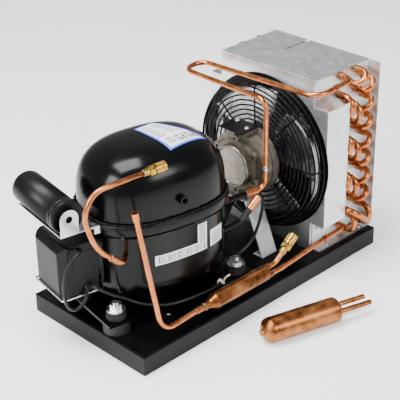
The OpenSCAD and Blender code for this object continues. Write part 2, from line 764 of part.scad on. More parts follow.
drier_end_r = line_d / 2 + drier_end_t;
drier_full = drier_l + drier_cone_l / 2;
module drier_outline(r) polygon([[0, 0], [r - drier_round, 0], [r, 1.5 * drier_round], [r, drier_full],
    [drier_end_r, drier_full + drier_cone_l], [drier_end_r - drier_end_in, drier_full + drier_cone_l + drier_neck_l],
    [0, drier_full + drier_cone_l + drier_neck_l]]);
module drier_outline_inside() polygon([[0, drier_t], [drier_d / 2 - drier_round - drier_t / 2, drier_t],
    [drier_d / 2 - drier_t, 1.7 * drier_round], [drier_d / 2 - drier_t, drier_full],
    [line_d / 2 + slip, drier_full + drier_cone_l - drier_t], [line_d / 2 + slip, drier_full + 2 * drier_cone_l],
    [0, drier_full + 2 * drier_cone_l]]);

module drier_desiccant() color("#d8d2c4") translate([drier_right, drier_y, drier_z]) rotate([0, -90, 0])
    translate([0, 0, drier_full * beads_from_share])
        cylinder(d = drier_d - 2 * drier_t - 2 * contact, h = drier_full * beads_share);

// Coil
function tube_z(row, k) = coil_top_z - k * tube_pitch - (row % 2) * tube_pitch / 2;
function tube_x(row) = row_x + row * row_pitch;
near_pairs = [[[0, 1], [0, 2]], [[0, 3], [0, 4]], [[0, 5], [0, 6]],
    [[1, 1], [1, 2]], [[1, 3], [1, 4]], [[1, 5], [1, 6]], [[1, 7], [1, 8]], [[1, 0], [2, 0]], [[3, 7], [3, 8]]];
far_pairs = [[[0, 0], [0, 1]], [[0, 2], [0, 3]], [[0, 4], [0, 5]], [[0, 6], [0, 7]],
    [[1, 0], [1, 1]], [[1, 2], [1, 3]], [[1, 4], [1, 5]], [[1, 6], [1, 7]], [[1, 8], [0, 8]]];
near_bends = concat(near_pairs, [for (k = [0 : row_tubes - 3]) [[3, k], [2, k + 1]]]);
hairpins = concat(far_pairs, [for (k = [0 : row_tubes - 1]) [[2, k], [3, k]]]);
function tube_at(t, y) = [tube_x(t[0]), y, tube_z(t[0], t[1])];

// Half turn between two tube ends at one Y, bulging along side
module half_turn(p, q, side, od, id) {
    m = (p + q) / 2;
    r = norm(q - p) / 2;
    u = unit(p - m);
    w = cross(u, [0, side, 0]);
    multmatrix([[u.x, 0, w.x, m.x], [u.y, side, w.y, m.y], [u.z, 0, w.z, m.z], [0, 0, 0, 1]])
        rotate_extrude(angle = 180) translate([r, 0]) elbow_face(od, id);
}

module coil_tubes() color("#b8653a") for (pair = hairpins) {
    for (t = pair) aim(tube_at(t, near_y - stub_out), [0, 1, 0])
        linear_extrude(coil_w + stub_out + hairpin_out + lap)
            tube_face(coil_tube_d, coil_tube_d - 2 * coil_tube_t);
    half_turn(tube_at(pair[0], far_y + hairpin_out), tube_at(pair[1], far_y + hairpin_out), 1,
        coil_tube_d, coil_tube_d - 2 * coil_tube_t);
}

bell_wall = 0.7;
module bell(t) aim(tube_at(t, near_y - stub_out - contact), [0, 1, 0]) linear_extrude(bell_l)
    tube_face(coil_tube_d + 2 * slip + 2 * bell_wall, coil_tube_d + 2 * slip);
module bend_foot(t) aim(tube_at(t, near_y - stub_out), [0, -1, 0]) translate([0, 0, contact / 2])
    linear_extrude(bend_in + lap) tube_face(coil_tube_d + 2 * slip + 2 * bell_wall, coil_tube_d - 2 * coil_tube_t);

bend_in = 2;
bend_y = near_y - stub_out - contact - bend_in;
crossover_out = 26;
module return_bends() color("#bd6b3f") {
    for (pair = near_bends) {
        for (t = pair) {
            bell(t);
            bend_foot(t);
        }
        half_turn(tube_at(pair[0], bend_y), tube_at(pair[1], bend_y), -1,
            coil_tube_d, coil_tube_d - 2 * coil_tube_t);
    }
    ends = [[0, row_tubes - 2], [2, row_tubes - 1]];
    for (t = ends) {
        bell(t);
        bend_foot(t);
    }
    jumper_y = near_y - stub_out - crossover_out;
    pipe([tube_at(ends[0], bend_y), tube_at(ends[0], jumper_y), tube_at(ends[1], jumper_y), tube_at(ends[1], bend_y)],
        crossover_out / 2, coil_tube_d, coil_tube_d - 2 * coil_tube_t);
}

module tube_grid(d) for (row = [0 : fin_rows - 1], k = [0 : row_tubes - 1])
    translate([tube_x(row), tube_z(row, k)]) circle(d = d, $fn = 24);

fin_inset = 2;
module coil_fins() color("#c3c7c9")
    for (y = [near_y + shroud_t + fin_inset : fin_pitch : far_y - shroud_t - fin_inset])
        translate([0, y + fin_t, 0]) rotate([90, 0, 0]) linear_extrude(fin_t) difference() {
            translate([row_x - fin_edge, fin_low_z])
                square([(fin_rows - 1) * row_pitch + 2 * fin_edge, unit_h - shroud_t - contact - fin_low_z]);
            tube_grid(coil_tube_d + 2 * slip);
        }

plate_rise = 7;
plate_low_z = tray_h + plate_rise;
module end_plate() difference() {
    union() {
        translate([panel_x + shroud_t + contact, 0, plate_low_z])
            cube([shroud_l - shroud_t - contact, shroud_t, unit_h - shroud_t - contact - plate_low_z]);
        translate([panel_x + shroud_l - shroud_t, -flange_w, plate_low_z])
            cube([shroud_t, flange_w + shroud_t, unit_h - shroud_t - contact - plate_low_z]);
    }
    translate([0, over, 0]) rotate([90, 0, 0]) linear_extrude(2 * over) tube_grid(coil_tube_d + 4 * contact);
    screw_holes();
}

module near_end_plate() color("#a7abac") translate([0, near_y, 0]) end_plate();
module far_end_plate() color("#a7abac") translate([0, far_y, 0]) mirror([0, 1, 0]) end_plate();

// Shroud: fan panel, wings and top in one folded sheet
panel_y = near_y + coil_w / 2;
slot_l = 44;
slot_w = 5;
slot_side_share = 0.13;
mouth_gap = 2;
wing_z = 64.35;
module shroud() color("#b9bdbe") difference() {
    union() {
        translate([panel_x, near_y, tray_h + contact]) cube([shroud_t, coil_w, unit_h - tray_h - contact]);
        translate([panel_x, near_y, unit_h - shroud_t]) cube([shroud_l, coil_w, shroud_t]);
        translate([panel_x, -wing_w / 2, wing_z]) cube([shroud_t, wing_w, wing_h]);
        for (s = [-1, 1]) translate([panel_x, s > 0 ? wing_w / 2 - shroud_t : -wing_w / 2, wing_z])
            cube([wing_l, shroud_t, wing_h]);
    }
    around_fan(panel_x - over) cylinder(r = ring_r + mouth_gap, h = 2 * over);
    translate([panel_x + shroud_l - slot_l, panel_y + coil_w * slot_side_share, unit_h - over]) {
        translate([0, -slot_w / 2, 0]) cube([slot_l + over, slot_w, 2 * over]);
        cylinder(d = slot_w, h = 2 * over, $fn = 24);
    }
}

// Foot brackets of the coil
bracket_t = 1.5;
bracket_in = 3.5;
bracket_more = 1;
bracket_x = panel_x + bracket_in;
bracket_l = shroud_l + bracket_more;
bracket_flange = 12;
bracket_high = 50;
bracket_high_l = 34;
bracket_low = 5;
module coil_bracket() difference() {
    translate([bracket_x, -contact, tray_h]) {
        translate([0, -bracket_t - bracket_flange, 0]) cube([bracket_l, bracket_t + bracket_flange, bracket_t]);
        translate([0, -bracket_t, 0]) cube([bracket_l, bracket_t, bracket_low]);
        translate([0, -bracket_t, 0]) cube([bracket_high_l, bracket_t, bracket_high]);
    }
    screw_holes();
}
module coil_brackets() color("#c2c6c7") {
    translate([0, near_y, 0]) coil_bracket();
    translate([0, far_y, 0]) mirror([0, 1, 0]) coil_bracket();
}

// Screws: a dished head on a short shank, along +Z out of the sheet
screw_head_d = 7;
screw_head_h = 2.4;
screw_d = 3.6;
screw_hole_gap = 0.2;
screw_l = 5.5;
screw_spots = [[bracket_x + bracket_high_l / 4, tray_h + bracket_high * 0.6],
    [bracket_x + bracket_high_l * 0.55, tray_h + bracket_high * 0.5]];
module screw(l) {
    rotate_extrude($fn = 32) can_profile(screw_head_d / 2, screw_head_h, screw_head_h / 2);
    translate([0, 0, -l]) cylinder(d = screw_d, h = l, $fn = 24);
}
module bracket_screws() for (p = screw_spots)
    translate([p[0], -contact - bracket_t - slip, p[1]]) rotate([90, 0, 0]) screw(screw_l);
module screw_holes() for (p = screw_spots) translate([p[0], 2 * over, p[1]]) rotate([90, 0, 0])
    cylinder(d = screw_d + screw_hole_gap, h = 4 * over, $fn = 24);
module zinc_screws() color("#d5d8d8") {
    translate([0, near_y, 0]) bracket_screws();
    translate([0, far_y, 0]) mirror([0, 1, 0]) bracket_screws();
}

// Fan ring, pressed with a rolled mouth
ring_t = 1.2;
mouth_l = 1;
module fan_ring() color("#1a1a1b") around_fan(panel_x - ring_t - contact) rotate_extrude($fn = 96) {
    translate([ring_r + ring_t, 0]) square([ring_out_r - ring_r - ring_t, ring_t]);
    translate([ring_r, ring_t]) square([ring_t, mouth_l]);
    translate([ring_r + ring_t, ring_t]) intersection() {
        circle(ring_t);
        translate([-ring_t, -ring_t]) square(ring_t);
    }
}

// Guard: flat rings, then rings down the sloping side, on radial wires
guard_in_r = 36;
guard_rings = 10;
guard_flat_r = guard_in_r + (guard_rings - 1) * guard_pitch;
guard_back = wire_d + slip;
side_from = [0, guard_flat_r];
guard_in = 4.2;
guard_start = 88;
side_to = [panel_x - ring_t - contact - wire_d / 2 - guard_x - guard_back - slip, ring_out_r - guard_in];
side_dir = unit(side_to - side_from);
side_out = [-side_dir.y, side_dir.x];
module fan_guard() color("#141415") {
    for (k = [0 : guard_rings - 1]) around_fan(guard_x) rotate_extrude($fn = 96)
        translate([guard_in_r + k * guard_pitch, 0]) circle(d = wire_d, $fn = 16);
    for (k = [1 : 3]) let (p = side_from + side_dir * (norm(side_to - side_from) * k / 3 - over)
        + side_out * guard_back)
        around_fan(guard_x + guard_back + p.x) rotate_extrude($fn = 96)
            translate([p.y, 0]) circle(d = wire_d, $fn = 16);
    for (k = [0 : wire_count - 1]) let (t = guard_start + 360 * k / wire_count)
        translate([guard_x + guard_back, fan_y, fan_z]) pipe([
            [0, (guard_in_r - over) * cos(t), (guard_in_r - over) * sin(t)],
            [0, side_from.y * cos(t), side_from.y * sin(t)],
            [side_to.x, side_to.y * cos(t), side_to.y * sin(t)]], wire_d * 2, wire_d, 0, $fn = 16);
}

// Blades: flat at the root, then pitched and cambered
root_r = 14;
flat_r = 28;
blade_steps = 10;
blade_rows = 8;
blade_camber = 4;
blade_start = 34;
root_span_share = 0.72;
rise_share = 0.4;
function ease(u) = let (v = min(max(u, 0), 1)) v * v * (3 - 2 * v);
function blade_point(i, j, lift) = let (r = root_r + (blade_r - root_r) * j / blade_rows,
    s = i / blade_steps - 0.5, e = ease((r - flat_r) / (blade_r * rise_share)),
    span = blade_span * (root_span_share + (1 - root_span_share) * e), t = s * span)
    [blade_depth * e * s + blade_camber * e * (1 - 4 * s * s) + lift, r * cos(t), r * sin(t)];
module blade() {
    front = [for (i = [0 : blade_steps]) [for (j = [0 : blade_rows]) blade_point(i, j, 0)]];
    back = [for (i = [0 : blade_steps]) [for (j = [0 : blade_rows]) blade_point(i, j, blade_t)]];
    n = blade_rows + 1;
    points = concat([for (r = front) each r], [for (r = back) each r]);
    h = n * (blade_steps + 1);
    quads = [for (i = [0 : blade_steps - 1], j = [0 : blade_rows - 1]) let (a = i * n + j)
        each [[a, a + 1, a + n + 1, a + n], [h + a, h + a + n, h + a + n + 1, h + a + 1]]];
    ends = [for (j = [0 : blade_rows - 1]) let (a = j, b = blade_steps * n + j)
        each [[a, h + a, h + a + 1, a + 1], [b, b + 1, h + b + 1, h + b]]];
    tips = [for (i = [0 : blade_steps - 1]) let (a = i * n, b = i * n + blade_rows)
        each [[a, a + n, h + a + n, h + a], [b, h + b, h + b + n, b + n]]];
    polyhedron(points, [for (q = concat(quads, ends, tips))
        each [[q[0], q[1], q[2]], [q[0], q[2], q[3]]]], convexity = 4);
}
module fan_blades() color("#b9bbbb") for (k = [0 : blade_count - 1])
    translate([blade_x, fan_y, fan_z]) rotate([360 * k / blade_count + blade_start + blade_span / 2, 0, 0]) blade();

hub_t = 1.6;
hub_r = root_r + (blade_r - root_r) / blade_rows;
hub_boss_d = 20;
hub_boss_l = 9;
hub_slip = 0.04;
module fan_hub() color("#a4a7a8") around_fan(blade_x + blade_t + slip) difference() {
    union() {
        cylinder(r = hub_r, h = hub_t);
        cylinder(d = hub_boss_d, h = hub_boss_l);
    }
    translate([0, 0, -over]) cylinder(d = shaft_d + 2 * hub_slip, h = hub_boss_l + 2 * over);
}

// Fan motor, all around the fan's axis
front_l = 6;
body_l = 17;
rear_l = 9;
motor_wall = 3;
bearing_d = 20;
bearing_l = 6;
boss_r = 35;
boss_d = 11;
boss_hole_d = 4;
boss_count = 6;
cap_len = 8;
cap_lip_r = 2;
pad_half = 17;
pad_y = 4.5;
pad_rise = 46.4;
pad_drop = 45.6;
pad_top = fan_z + pad_rise;
pad_low = fan_z - pad_drop;
cap_seat = 5;
boss_start = 28;
screw_at_share = 0.3;
screw_side_share = 0.75;
air_gap_share = 0.5;
slot_from_share = 0.6;
slot_share = 0.2;
coil_slot_w = 4;

module at_bosses() for (k = [0 : boss_count - 1]) translate([motor_x - front_l, fan_y, fan_z])
    rotate([360 * k / boss_count + boss_start, 0, 0]) translate([0, boss_r, 0]) rotate([0, 90, 0]) children();
module plate_holes(depth) for (s = [-1, 1])
    translate([motor_x + body_l * (0.5 + s * screw_at_share), pad_y + s * pad_half * screw_side_share, pad_top - depth])
        cylinder(d = screw_d + contact, h = depth + 2 * over, $fn = 24);

module motor_housing() color("#8f8d88") difference() {
    union() {
        around_fan(motor_x - front_l) cylinder(r = motor_cap_r + cap_seat, h = front_l + contact);
        around_fan(motor_x) cylinder(r = motor_r, h = body_l + contact);
        around_fan(motor_x + body_l) cylinder(r = motor_flange_r, h = rear_l);
        at_bosses() cylinder(d = boss_d, h = front_l + contact);
        translate([motor_x, pad_y - pad_half, fan_z]) cube([body_l, 2 * pad_half, pad_top - fan_z]);
        translate([motor_x, fan_y - pad_half, pad_low]) cube([body_l, 2 * pad_half, fan_z - pad_low]);
    }
    around_fan(motor_x + motor_wall) cylinder(r = motor_r - motor_wall, h = body_l + rear_l - 3 * motor_wall);
    around_fan(motor_x + motor_wall) cylinder(d = bearing_d + 2 * slip, h = body_l + rear_l);
    around_fan(motor_x - front_l - over) cylinder(d = bearing_d + 2 * slip, h = front_l + 2 * over + motor_wall);
    at_bosses() translate([0, 0, -over]) cylinder(d = boss_hole_d, h = front_l, $fn = 24);
    plate_holes(3 * over);
    lead_hole(lead_b[20], lead_b[21]);
}

module motor_cap() color("#a5a39d") around_fan(motor_x - front_l - contact - cap_len) rotate_extrude($fn = 64) {
    translate([0, cap_lip_r]) square([motor_cap_r - cap_lip_r, cap_lip_r]);
    translate([motor_cap_r - 2 * cap_lip_r, cap_lip_r]) square([2 * cap_lip_r, cap_len - cap_lip_r]);
    translate([motor_cap_r - cap_lip_r, cap_lip_r]) circle(cap_lip_r);
}

module motor_stator() color("#6b6f72") around_fan(motor_x + motor_wall + over)
    linear_extrude(body_l - motor_wall - 2 * over) difference() {
        circle(r = motor_r - motor_wall - slip);
        circle(r = motor_r * air_gap_share);
        for (t = [0 : 30 : 330]) rotate(t) translate([motor_r * slot_from_share, -coil_slot_w / 2])
            square([motor_r * slot_share, coil_slot_w]);
    }
module motor_rotor() color("#9b9ea0") around_fan(motor_x + motor_wall + over) difference() {
    cylinder(r = motor_r * air_gap_share - seat_gap, h = body_l - motor_wall - 2 * over);
    translate([0, 0, -over]) cylinder(d = shaft_d + 2 * hub_slip, h = body_l + over);
}
shaft_proud = 3;
shaft_end = blade_x + blade_t + hub_boss_l + shaft_proud;
module motor_shaft() color("#c8cacb") around_fan(motor_x - front_l + over)
    cylinder(d = shaft_d, h = shaft_end - motor_x + front_l - over);
bearing_slip = 0.03;
module motor_bearings() color("#7d8082") for (x = [motor_x - bearing_l + motor_wall, motor_x + body_l + rear_l - bearing_l])
    around_fan(x) linear_extrude(bearing_l) tube_face(bearing_d, shaft_d + 2 * bearing_slip);

top_plate_l = 33;
top_plate_w = 38;
top_plate_in = 3;
module motor_top_plate() color("#151516") difference() {
    translate([motor_x + body_l / 2 - top_plate_l / 2 - top_plate_in, pad_y - top_plate_w / 2, pad_top + slip])
        cube([top_plate_l, top_plate_w, bracket_t]);
    plate_holes(over);
}

leg_foot = 15;
leg_top = pad_low - slip;
leg_margin = 1;
leg_ahead = 5.5;
leg_half_top = pad_half + leg_margin;
leg_half_low = 48;
lean = atan2(leg_half_low - leg_half_top, leg_top - tray_h);
module leg_outline(inset) polygon([[-leg_half_low + inset / cos(lean), tray_h - (inset > 0 ? over : 0)],
    [-leg_half_top + inset / cos(lean), leg_top - inset], [leg_half_top - inset / cos(lean), leg_top - inset],
    [leg_half_low - inset / cos(lean), tray_h - (inset > 0 ? over : 0)]]);
module motor_legs() color("#c5cbce") translate([motor_x - leg_ahead, fan_y, 0]) {
    rotate([90, 0, 90]) linear_extrude(leg_w) difference() {
        leg_outline(0);
        leg_outline(leg_t);
    }
    for (s = [0, 1]) mirror([0, s, 0]) translate([0, leg_half_low - leg_foot - leg_t / 2, tray_h])
        cube([leg_w, leg_foot, leg_t]);
}

// Compressor inside: the motor and pump hang on four springs
pump_r = 52;
pump_bore_r = 29;
pump_rise = 22;
pump_low = shell_z + pump_rise;
wrist_share = 0.55;
winding_from_share = 1.2;
winding_share = 0.22;
block_share = 0.7;
pump_h = 46;
crank_d = 18;
crank_slip = 0.05;
block_z = pump_low + pump_h + contact;
block_h = 34;
block_l = 44;
block_in = 24;
block_floor_t = 5;
block_wall = 5;
bore_d = 26;
stroke = 18;
rod_l = 45;
wrist_z = block_z + block_h * wrist_share;
pin_crank_d = 14;
web_t = 6;
web_rim = 1;
pin_h = 12;
tooth_w = 6;
shaft_drop = 8;
module pump_stator() color("#70757a") at_compressor() translate([0, 0, pump_low])
    linear_extrude(pump_h) difference() {
        circle(pump_r);
        circle(pump_bore_r);
        for (t = [0 : 30 : 330]) rotate(t) translate([pump_bore_r * winding_from_share, -tooth_w / 2])
            square([pump_r * winding_share, tooth_w]);
    }
module pump_rotor() color("#9da1a4") at_compressor() translate([0, 0, pump_low]) difference() {
    cylinder(r = pump_bore_r - seat_gap, h = pump_h - over);
    translate([0, 0, -over]) cylinder(d = crank_d + 2 * hub_slip, h = pump_h + 2 * over);
}
module crankshaft() color("#b3b6b8") at_compressor() {
    translate([0, 0, pump_low - shaft_drop])
        cylinder(d = crank_d, h = wrist_z - pin_h / 2 - web_t - pump_low + shaft_drop);
    translate([0, 0, wrist_z - pin_h / 2 - web_t]) cylinder(r = (stroke + pin_crank_d) / 2 + web_rim, h = web_t);
    translate([stroke / 2, 0, wrist_z - pin_h / 2 - slip]) cylinder(d = pin_crank_d, h = pin_h);
}
module cylinder_block() color("#55585b") at_compressor() difference() {
    union() {
        translate([0, 0, block_z])
            cylinder(d = crank_d + 2 * block_wall, h = wrist_z - pin_h / 2 - web_t - seat_gap - block_z);
        translate([-pump_r * block_share, -pump_r * block_share, block_z])
            cube([pump_r * block_share + block_in + block_l, 2 * pump_r * block_share, block_floor_t]);
        translate([block_in, -bore_d / 2 - block_wall, block_z]) cube([block_l, bore_d + 2 * block_wall, block_h]);
    }
    translate([0, 0, block_z - over]) cylinder(d = crank_d + 2 * crank_slip, h = block_h);
    translate([0, 0, wrist_z]) rotate([0, 90, 0])
        cylinder(d = bore_d + 2 * crank_slip, h = block_in + block_l - block_wall);
}

// The rod's arm runs over the crank pin, so that each can move by itself
piston_l = 18;
piston_x = stroke / 2 + rod_l;
wrist_d = 7;
arm_w = 7;
arm_t = 3;
arm_gap = 0.4;
arm_side = 1;
piston_open_share = 0.75;
piston_slot_w = arm_w + 2 * arm_side;
piston_slot_h = 2 * (pin_h / 2 + arm_gap + arm_t + seat_gap);
module piston() color("#c2c5c7") at_compressor() translate([piston_x, 0, wrist_z]) difference() {
    translate([-piston_l / 2, 0, 0]) rotate([0, 90, 0]) cylinder(d = bore_d, h = piston_l);
    translate([-piston_l / 2 - over, -piston_slot_w / 2, -piston_slot_h / 2])
        cube([piston_l * piston_open_share + over, piston_slot_w, piston_slot_h]);
}
module connecting_rod() color("#a7abad") at_compressor() translate([0, 0, wrist_z]) {
    translate([piston_x, 0, -piston_slot_h / 2 + slip]) cylinder(d = wrist_d, h = piston_slot_h - 2 * slip);
    translate([stroke / 2, -arm_w / 2, pin_h / 2 + arm_gap]) cube([rod_l, arm_w, arm_t]);
    translate([stroke / 2, 0, pin_h / 2 + arm_gap]) cylinder(d = pin_crank_d, h = arm_t);
}
spring_d = 14;
spring_x = 32;
spring_y = 22;
module support_springs() color("#8d9194") at_compressor() for (sx = [-1, 1], sy = [-1, 1])
    translate([sx * spring_x, sy * spring_y, shell_z + shell_t + slip])
        cylinder(d = spring_d, h = pump_low - shell_z - shell_t - 2 * slip);

// Leads, by hand-chosen points: the first in the compressor's frame, the second in the tray's
lead_d = 4;
lead_gap = 1;
tie_gap = 1;
lead_a = [[-116, -27, 132], [-116, -34, 132], [-121, -38, 131], [-130, -39, 126], [-138, -39, 114], [-142, -39, 98],
    [-142, -39, 80], [-138, -39, 68], [-130, -39, 62], [-120, -39, 66], [-114, -38, 74], [-112, -34, 83], [-112, -27, 83]];
lead_b = [[-206, -5, 84], [-207.5, -14, 84], [-206, -21, 83], [-200, -26, 78], [-190, -28, 70], [-178, -31, 62],
    [-165, -39, 53], [-153, -48, 48], [-138, -60, 46], [-122, -67, 46], [-104, -71, 46], [-84, -74, 46],
    [-66, -74, 46], [-50, -66, 46], [-36, -54, 48], [-21, -46, 50], [0, -46, 50], [22, -47, 60], [38, -45, 80],
    [48, -41, 97], [53, -35, 106], [53, -28.5, 112.5]];
tie_at = 12;
tie_w = 4.5;
tie_t = 1.2;
function spline(p, i, u) = let (a = p[max(i - 1, 0)], b = p[i], c = p[i + 1], d = p[min(i + 2, len(p) - 1)])
    0.5 * (2 * b + (c - a) * u + (2 * a - 5 * b + 4 * c - d) * u * u + (3 * b - a - 3 * c + d) * u * u * u);
function smooth(p, n) = concat([for (i = [0 : len(p) - 2], k = [0 : n - 1]) spline(p, i, k / n)], [p[len(p) - 1]]);
function tangent(p, i) = unit(p[min(i + 1, len(p) - 1)] - p[max(i - 1, 0)]);
module cord(route, d) {
    p = smooth(route, 2);
    skin([for (i = [0 : len(p) - 1]) let (t = tangent(p, i), side = unit(cross(t, [0.1, 0.2, 1])), up = cross(side, t))
        [for (k = [0 : 7]) p[i] + d / 2 * (side * cos(45 * k) + up * sin(45 * k))]]);
}
module leads() color("#111112") {
    at_compressor() cord(lead_a, lead_d);
    cord(lead_b, lead_d);
}
module lead_hole(from, to) aim(from, to - from)
    translate([0, 0, -over]) cylinder(d = lead_d + lead_gap, h = norm(to - from) + 2 * over, $fn = 24);
module cable_tie() color("#d9d6c8") aim((lead_b[tie_at] + lead_b[tie_at + 1]) / 2, lead_b[tie_at + 1] - lead_b[tie_at])
    linear_extrude(tie_w, center = true) tube_face(lead_d + 2 * (tie_gap + tie_t), lead_d + 2 * tie_gap);

// Loose drier on the floor in front of the tray
spare_from = [-68, -149];
spare_angle = -16.9;
spare_t = 1;
spare_stub_d = 6.35;
spare_stub_l = 42;
spare_stub_y = 7;
spare_dome_h = 9;
spare_neck_h = 6;
spare_plug_d = 8;
spare_plug_h = 3;
module spare_drier() color("#a9683c") translate([spare_from.x, spare_from.y, spare_d / 2]) rotate([0, 90, spare_angle]) {
    difference() {
        rotate_extrude() difference() {
            spare_outline(0);
            spare_outline(spare_t);
        }
        for (s = [-1, 1]) translate([0, s * spare_stub_y, spare_l - over])
            cylinder(d = spare_stub_d + 2 * slip, h = 2 * over);
        translate([0, 0, -over]) cylinder(d = spare_plug_d / 2 + contact, h = 2 * over, $fn = 24);
    }
    for (s = [-1, 1]) translate([0, s * spare_stub_y, spare_l - over]) linear_extrude(spare_stub_l + over)
        tube_face(spare_stub_d, spare_stub_d - 2 * line_t);
    translate([0, 0, -slip - spare_plug_h]) cylinder(d = spare_plug_d, h = spare_plug_h);
    translate([0, 0, -spare_plug_h]) cylinder(d = spare_plug_d / 2, h = spare_plug_h + over, $fn = 24);
}
// A straight shell with a rounded dome at its low end and a drawn in neck at its high end
module spare_outline(inset) let (r = spare_d / 2 - inset, low = spare_dome_h, high = spare_l - spare_neck_h)
    polygon(concat([[0, inset]],
        [for (t = [75 : -15 : 0]) [r * cos(t), low - (spare_dome_h - inset) * sin(t)]],
        [for (t = [0 : 15 : 60]) [r * (0.3 + 0.7 * cos(t)), high + (spare_neck_h - inset) * sin(t)]],
        [[r * 0.6, spare_l - inset], [0, spare_l - inset]]));

base_tray();
compressor_lower_shell();
compressor_upper_shell();
shell_stubs();
mounting_feet();
rubber_grommets();
grommet_sleeves();
mounting_studs();
terminal_fence();
starting_device();
relay_cover();
cover_clip();
capacitor_can();
capacitor_cap();
capacitor_bracket();
process_tube();
tube_couplings();
valve_bodies();
process_valve_pin();
process_cap();
process_cap_seal();
discharge_line();
coil_tubes();
return_bends();
coil_fins();
near_end_plate();
far_end_plate();
shroud();
coil_brackets();
zinc_screws();
fan_ring();
fan_guard();
fan_blades();
fan_hub();
motor_housing();
motor_cap();
motor_stator();
motor_rotor();
motor_shaft();
motor_bearings();
motor_top_plate();
motor_legs();
liquid_line();
drier_shell();
drier_desiccant();
outlet_tube();
access_tube();
access_valve_pin();
access_cap();
access_cap_seal();
pump_stator();
pump_rotor();
crankshaft();
cylinder_block();
piston();
connecting_rod();
support_springs();
leads();
cable_tie();
spare_drier();
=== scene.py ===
# Looks of the refrigeration condensing unit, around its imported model
import math

import bpy
import bmesh
from mathutils import Matrix, Vector


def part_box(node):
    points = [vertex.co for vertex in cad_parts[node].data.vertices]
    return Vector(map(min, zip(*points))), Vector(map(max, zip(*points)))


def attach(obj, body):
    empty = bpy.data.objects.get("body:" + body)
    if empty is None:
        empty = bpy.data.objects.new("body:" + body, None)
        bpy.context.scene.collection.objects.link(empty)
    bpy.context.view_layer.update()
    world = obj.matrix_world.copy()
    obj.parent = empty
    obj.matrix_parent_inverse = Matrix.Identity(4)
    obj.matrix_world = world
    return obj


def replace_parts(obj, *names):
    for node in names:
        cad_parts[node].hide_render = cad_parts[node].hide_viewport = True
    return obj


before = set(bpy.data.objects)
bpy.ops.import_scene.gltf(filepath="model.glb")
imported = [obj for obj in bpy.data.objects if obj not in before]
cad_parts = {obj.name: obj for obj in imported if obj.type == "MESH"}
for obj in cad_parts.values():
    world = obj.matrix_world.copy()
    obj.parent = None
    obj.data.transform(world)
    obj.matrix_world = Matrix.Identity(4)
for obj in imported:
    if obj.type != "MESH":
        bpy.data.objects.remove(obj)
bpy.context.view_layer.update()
print("frame loaded:", len(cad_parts), "nodes")
mm = 0.001
upward = Vector((0, 0, 1))


def addObject(name, data):
    obj = bpy.data.objects.new(name, data)
    bpy.context.scene.collection.objects.link(obj)
    return obj


# Camera where the photograph was taken from: lengths in mm, angles in degrees
camera = {"place": (-899.6, -896.4, 780.7), "heading": 45.56, "down": 27.89, "roll": -0.91,
          "lens": 104.57, "sensor": 36, "farthest": 20000}


def addCamera():
    heading, down, roll = (math.radians(camera[k]) for k in ("heading", "down", "roll"))
    level = math.cos(down)
    forward = Vector((math.cos(heading) * level, math.sin(heading) * level, -math.sin(down)))
    flat = Vector((math.sin(heading), -math.cos(heading), 0))
    rise = flat.cross(forward)
    right = flat * math.cos(roll) + rise * math.sin(roll)
    up = rise * math.cos(roll) - flat * math.sin(roll)
    data = bpy.data.cameras.new("photoCamera")
    data.lens = camera["lens"]
    data.sensor_width = camera["sensor"]
    data.clip_end = camera["farthest"] * mm
    obj = addObject("photoCamera", data)
    turn = Matrix((right, up, -forward)).transposed().to_4x4()
    obj.matrix_world = Matrix.Translation(Vector(camera["place"]) * mm) @ turn
    bpy.context.scene.camera = obj


addCamera()
print("camera set")


# Colours are sRGB hex, as a colour picker shows them
def toLinear(hexColour):
    parts = [int(hexColour[i:i + 2], 16) / 255 for i in (1, 3, 5)]
    return [p / 12.92 if p <= 0.04045 else ((p + 0.055) / 1.055) ** 2.4 for p in parts] + [1]


# A node with its settings; an input given as (node, output) is linked
def addNode(tree, kind, inputs=None, **settings):
    node = tree.nodes.new(kind)
    for name, value in settings.items():
        setattr(node, name, value)
    for name, value in (inputs or {}).items():
        if isinstance(value, tuple) and hasattr(value[0], "outputs"):
            tree.links.new(value[0].outputs[value[1]], node.inputs[name])
        else:
            node.inputs[name].default_value = value
    return node


def perMm(size):  # texture scale that makes one feature this many mm
    return 1 / (size * mm)


def setRamp(node, stops):
    elements = node.color_ramp.elements
    while len(elements) < len(stops):
        elements.new(0.5)
    for element, (place, hexColour) in zip(elements, stops):
        element.position = place
        element.color = toLinear(hexColour)


def newMaterial(name, **shaderInputs):
    material = bpy.data.materials.new(name)
    material.use_nodes = True
    shader = material.node_tree.nodes["Principled BSDF"]
    for key, value in shaderInputs.items():
        shader.inputs[key.replace("_", " ")].default_value = value
    return material, material.node_tree, shader


def linkSurface(tree, shader, colour, gloss, bump):
    tree.links.new(colour.outputs["Color"], shader.inputs["Base Color"])
    tree.links.new(gloss.outputs["Result"], shader.inputs["Roughness"])
    tree.links.new(bump.outputs["Normal"], shader.inputs["Normal"])


# Patches that run through the tones, roughness that follows them, and a grain in the surface; patch, grain
# and depth in mm. A grain under 1 mm is drawn coarser than the real one, so that it shows.
worn = {"detail": 5, "roughness": 0.6, "low": 0.3, "high": 0.7, "grainDetail": 3}


